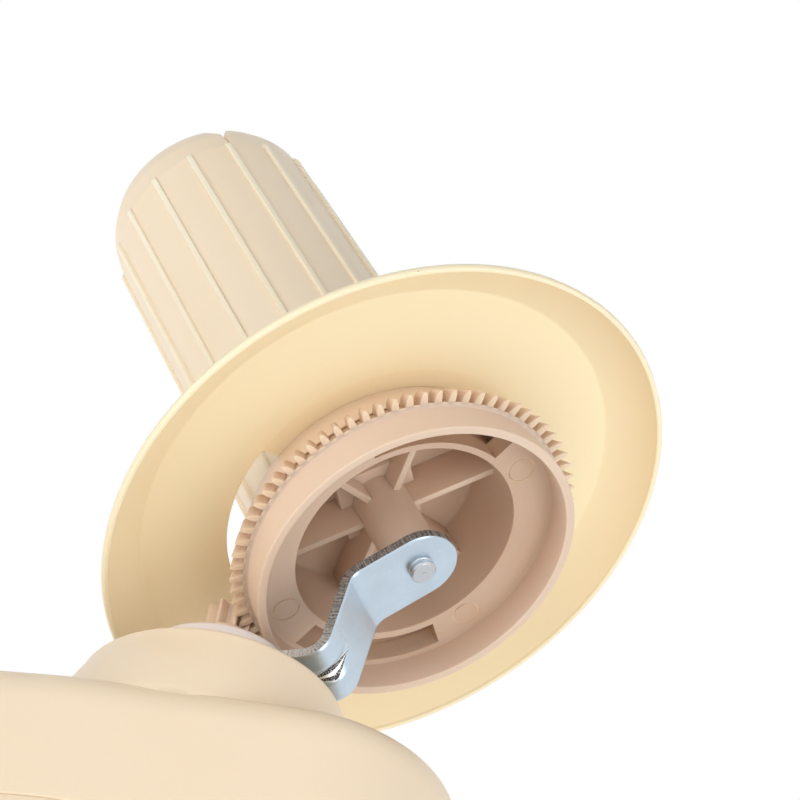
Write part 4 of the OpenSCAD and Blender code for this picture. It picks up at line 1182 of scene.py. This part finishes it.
# %% Sun pinion
SUN_TEETH, SUN_FIRST = 8, -3.6
cog = [(2.6, 0.9), (3.15, 0.87), (4.4, 0.62), (5.05, 0.46), (5.34, 0.24), (5.4, 0.0)]
cog = [(x, -y) for x, y in cog] + [(x, y) for x, y in reversed(cog[:-1])]
sun_tooth = link("sun_tooth", slab(cog, 82.6, 89.5, bevel=0.1), core_plastic)
sun = turned_part("sun_gear", [
    (2.0, 74.7, 0.2), (5.6, 74.7, 0.3), (5.6, 82.7, 0.3), (3.15, 82.75, 0.1), (3.15, 89.5, 0.1),
    (2.0, 89.5, 0.1)], core_plastic)
join(sun, [ring_of(sun_tooth, SUN_TEETH, SUN_FIRST, core_plastic)])
fit(sun, arm_frame, "base", "core_tan", "sun_pinion", sharp=30)

# %% [markdown]
# The crank under the body is a flat bar, round at both ends, with a pear-shaped knob that turns
# on its pin. The bar's cut edges are lightly broken and the knob is polished by the mould.

# %% Crank
crank_frame = Matrix.Translation((CRANK_X, 0, 0)) @ half_turn
CRANK_R, BAR_Z = 60.0, -5.0
wide, narrow = math.asin(6.5 / 9), math.pi - math.asin(6.5 / 7)
bar_edge = arc(0, 9.0, wide, 2 * math.pi - wide, 40) + arc(CRANK_R, 7.0, -narrow, narrow, 32)
crank_bar = link("crank_bar", slab(bar_edge, BAR_Z, BAR_Z + 4, bevel=0.45, segments=3), zinc)
fit(crank_bar, crank_frame, "crank", "zinc_steel", "crank_arm")
KNOB_Z = BAR_Z - 0.6 - 48
knob = turned_part("turning_knob", [
    (4.2, 0.0, 0.3), (10.4, 0.0, 2.2), (12.5, 3.8, 4.0), (12.5, 14.4, 9.0), (11.62, 24.0, 12.0),
    (9.0, 39.4, 14.0), (8.73, 44.2, 3.0), (9.54, 47.0, 0.9), (9.0, 48.0, 0.4), (3.05, 48.0, 0.0),
    (3.05, 4.3, 0.0), (4.2, 4.3, 0.0)], knob_plastic, 128, steps=8)
fit(knob, crank_frame @ Matrix.Translation((CRANK_R, 0, KNOB_Z)), "knob", "knob_plastic", "crank_knob",
    sharp=50)


def hexagon(name, radius, z0, z1, bore):
    """A nut with its corners turned off."""
    flats = [(radius * math.cos(math.pi / 3 * k), radius * math.sin(math.pi / 3 * k)) for k in range(6)]
    nut = link(name, slab(flats, z0, z1), zinc)
    combine(nut, lathe(rounded([
        (0, z0 - 2, 0), (radius * 0.9, z0 - 0.001, 0), (radius * 1.02, z0 + 0.9, 0),
        (radius * 1.02, z1 - 0.2, 0), (radius * 0.97, z1 + 0.001, 0), (0, z1 + 2, 0)]), 64), "INTERSECT")
    return carve(nut, [drum(0, 0, bore, z0 - 1, z1 + 1)])


crank_nut = hexagon("crank_hex_nut", 5.5, BAR_Z - 4.5, BAR_Z, 2.7)
fit(crank_nut, Matrix.Translation((CRANK_X, 0, 0)), "crank", "zinc_steel", "crank_nut", sharp=30)

# %% [markdown]
# The table clamp is a strip of thick steel bent to a C, with a rubber seat above the table and a
# screw below it. The bends are round, the free corners are cut back and every edge is broken.

# %% Clamp bracket
CLAMP_HALF, FREE_END_X, CORNER_CUT = 14, -12, 5.0
CLAMP_SCREWS = (-12, 15)
frame_side = rounded([(-18, 2, 0), (26, 2, 1.6), (26, -45, 1.6), (-13, -45, 0), (-13, -48, 0),
                      (29, -48, 4.4), (29, 5, 3.2), (-18, 5, 0)], 7)
bent = placed(slab(frame_side, -CLAMP_HALF, CLAMP_HALF), Matrix.Rotation(math.pi / 2, 4, "X"))


def free_corner(edge):
    """Whether an edge goes through the strip at a corner of one of its free ends."""
    one, two = (v.co for v in edge.verts)
    return (abs(abs(one.y) - CLAMP_HALF) < 1e-3 and abs(one.y - two.y) < 1e-3
            and abs(one.x - two.x) < 1e-3 and one.x < FREE_END_X and abs(one.z - two.z) < 3.5)


bmesh.ops.bevel(bent, geom=[e for e in bent.edges if free_corner(e)], offset=CORNER_CUT,
                segments=8, affect="EDGES", profile=0.5)
bmesh.ops.recalc_face_normals(bent, faces=bent.faces)
bracket = link("clamp_frame", bent, zinc)
carve(bracket, [drum(0, 0, 6.0, -49, -44)] + [drum(x, 0, 3.2, 1, 3.8, 40) for x in CLAMP_SCREWS]
      + [drum(x, 0, 1.7, 1, 6, 40) for x in CLAMP_SCREWS])
broken = bracket.modifiers.new("broken edges", "BEVEL")
broken.width, broken.segments = 0.3, 2
broken.limit_method, broken.angle_limit = "ANGLE", math.radians(50)
bpy.context.view_layer.update()
plain(bracket)
fit(bracket, as_drawn, "base", "zinc_steel", "clamp_bracket", sharp=35)

pad_edge = rounded([(-18, -14, 3), (25, -14, 1.5), (25, 14, 1.5), (-18, 14, 3)], 6)
pad = link("rubber_seat", slab(pad_edge, 0, 2, bevel=0.3), grey_rubber)
carve(pad, [drum(x, 0, 3.5, -1, 3, 48) for x in CLAMP_SCREWS])
fit(pad, as_drawn, "base", "rubber_grey", "seat_pad", sharp=35)

# %% [markdown]
# The clamp screw has a real thread. Its surface is a grid of turns round and steps along the
# screw, and the radius follows a rounded saw wave of the height less the turn.

# %% Clamp screw
THREAD_R, THREAD_DEPTH, PITCH = 4.0, 0.55, 1.5
SCREW_TIP, SCREW_L = -29.0, 75.0
around, steps = 40, int(SCREW_L / PITCH * 8)
thread = bmesh.new()
rows = []
for j in range(steps + 1):
    z = SCREW_TIP - SCREW_L + SCREW_L * j / steps
    end = min(1.0, j / 6, (steps - j) / 6)
    row = []
    for i in range(around):
        wave = abs(2 * ((z / PITCH - i / around) % 1.0) - 1)
        radius = THREAD_R - THREAD_DEPTH * (1 - min(1.0, 1.25 * wave)) * end - 0.5 * (1 - end)
        row.append(thread.verts.new((radius * math.cos(2 * math.pi * i / around),
                                     radius * math.sin(2 * math.pi * i / around), z)))
    rows.append(row)
rod = link("threaded_rod", skin_over(thread, rows), turned)
tip = turned_part("rod_tip", [
    (0, SCREW_TIP - 0.1, 0), (2, SCREW_TIP - 0.1, 0), (2, SCREW_TIP + 2.5, 0.4),
    (0, SCREW_TIP + 2.5, 0)], turned, 40)
join(rod, [tip])
fit(rod, as_drawn, "clamp_turner", "turned_steel", "clamp_screw", sharp=60)

# %% [markdown]
# The screw runs in a turned bush that is pressed into the strip. Its foot is moulded in rubber,
# and its hand knob has six soft lobes, which swell and draw in again over the knob's height.

# %% Clamp bush, foot and knob
bush = turned_part("threaded_bush", [
    (4.2, -53, 0.4), (9, -53, 0.9), (9, -48, 0.5), (5.95, -48, 0.0), (5.95, -45, 0.3),
    (4.2, -45, 0.4)], turned)
fit(bush, as_drawn, "base", "turned_steel", "clamp_nut")

foot = turned_part("rubber_foot", [
    (0, -26.2, 0), (2.05, -26.2, 0), (2.05, -29, 0.2), (9.6, -29, 0.9), (11, -27.6, 0.7),
    (11, -25, 0.6), (8.6, -25, 0.3), (8.2, -25.4, 0.3), (0, -25.4, 0)], grey_rubber)
fit(foot, as_drawn, "clamp_slide", "rubber_grey", "clamp_foot")


LOBES, LOBE_R, LOBE_SWELL = 6, 15.2, 1.75


def lobed(inset):
    """The hand knob's outline, drawn in by an inset."""
    points = []
    for turn in [2 * math.pi * k / 192 for k in range(192)]:
        radius = LOBE_R + LOBE_SWELL * math.cos(LOBES * turn) - inset
        points.append((radius * math.cos(turn), radius * math.sin(turn)))
    return points


KNOB_BASE = SCREW_TIP - SCREW_L - 3
grip_wall = [(9.5, 1.2), (5.2, 1.2), (4.2, 0.3), (3.2, 0.0), (1.6, 0.25), (0.5, 1.2), (0.0, 2.8),
             (0.0, 13.2), (0.5, 14.8), (1.6, 15.75), (3.2, 16.0)]
grip = link("clamp_grip", stack([(inset, KNOB_BASE + z) for inset, z in grip_wall], lobed), knob_plastic)
carve(grip, [drum(0, 0, THREAD_R + 0.05, KNOB_BASE + 3, KNOB_BASE + 20)])
fit(grip, as_drawn, "clamp_turner", "knob_plastic", "clamp_knob")

# %% [markdown]
# The yarn guide's socket is a small turned-looking moulding with a flange on the body's top.

# %% Guide socket
socket = turned_part("guide_seat", [
    (1.7, 29.0, 0.0), (5.0, 29.0, 0.3), (5.0, TOP_Z, 0.0), (8.0, TOP_Z, 0.3), (7.6, TOP_Z + 5, 1.8),
    (1.7, TOP_Z + 5, 0.4)], cover_plastic)
fit(socket, Matrix.Translation((GUIDE_X, 0, 0)), "base", "cover_cream", "guide_socket")
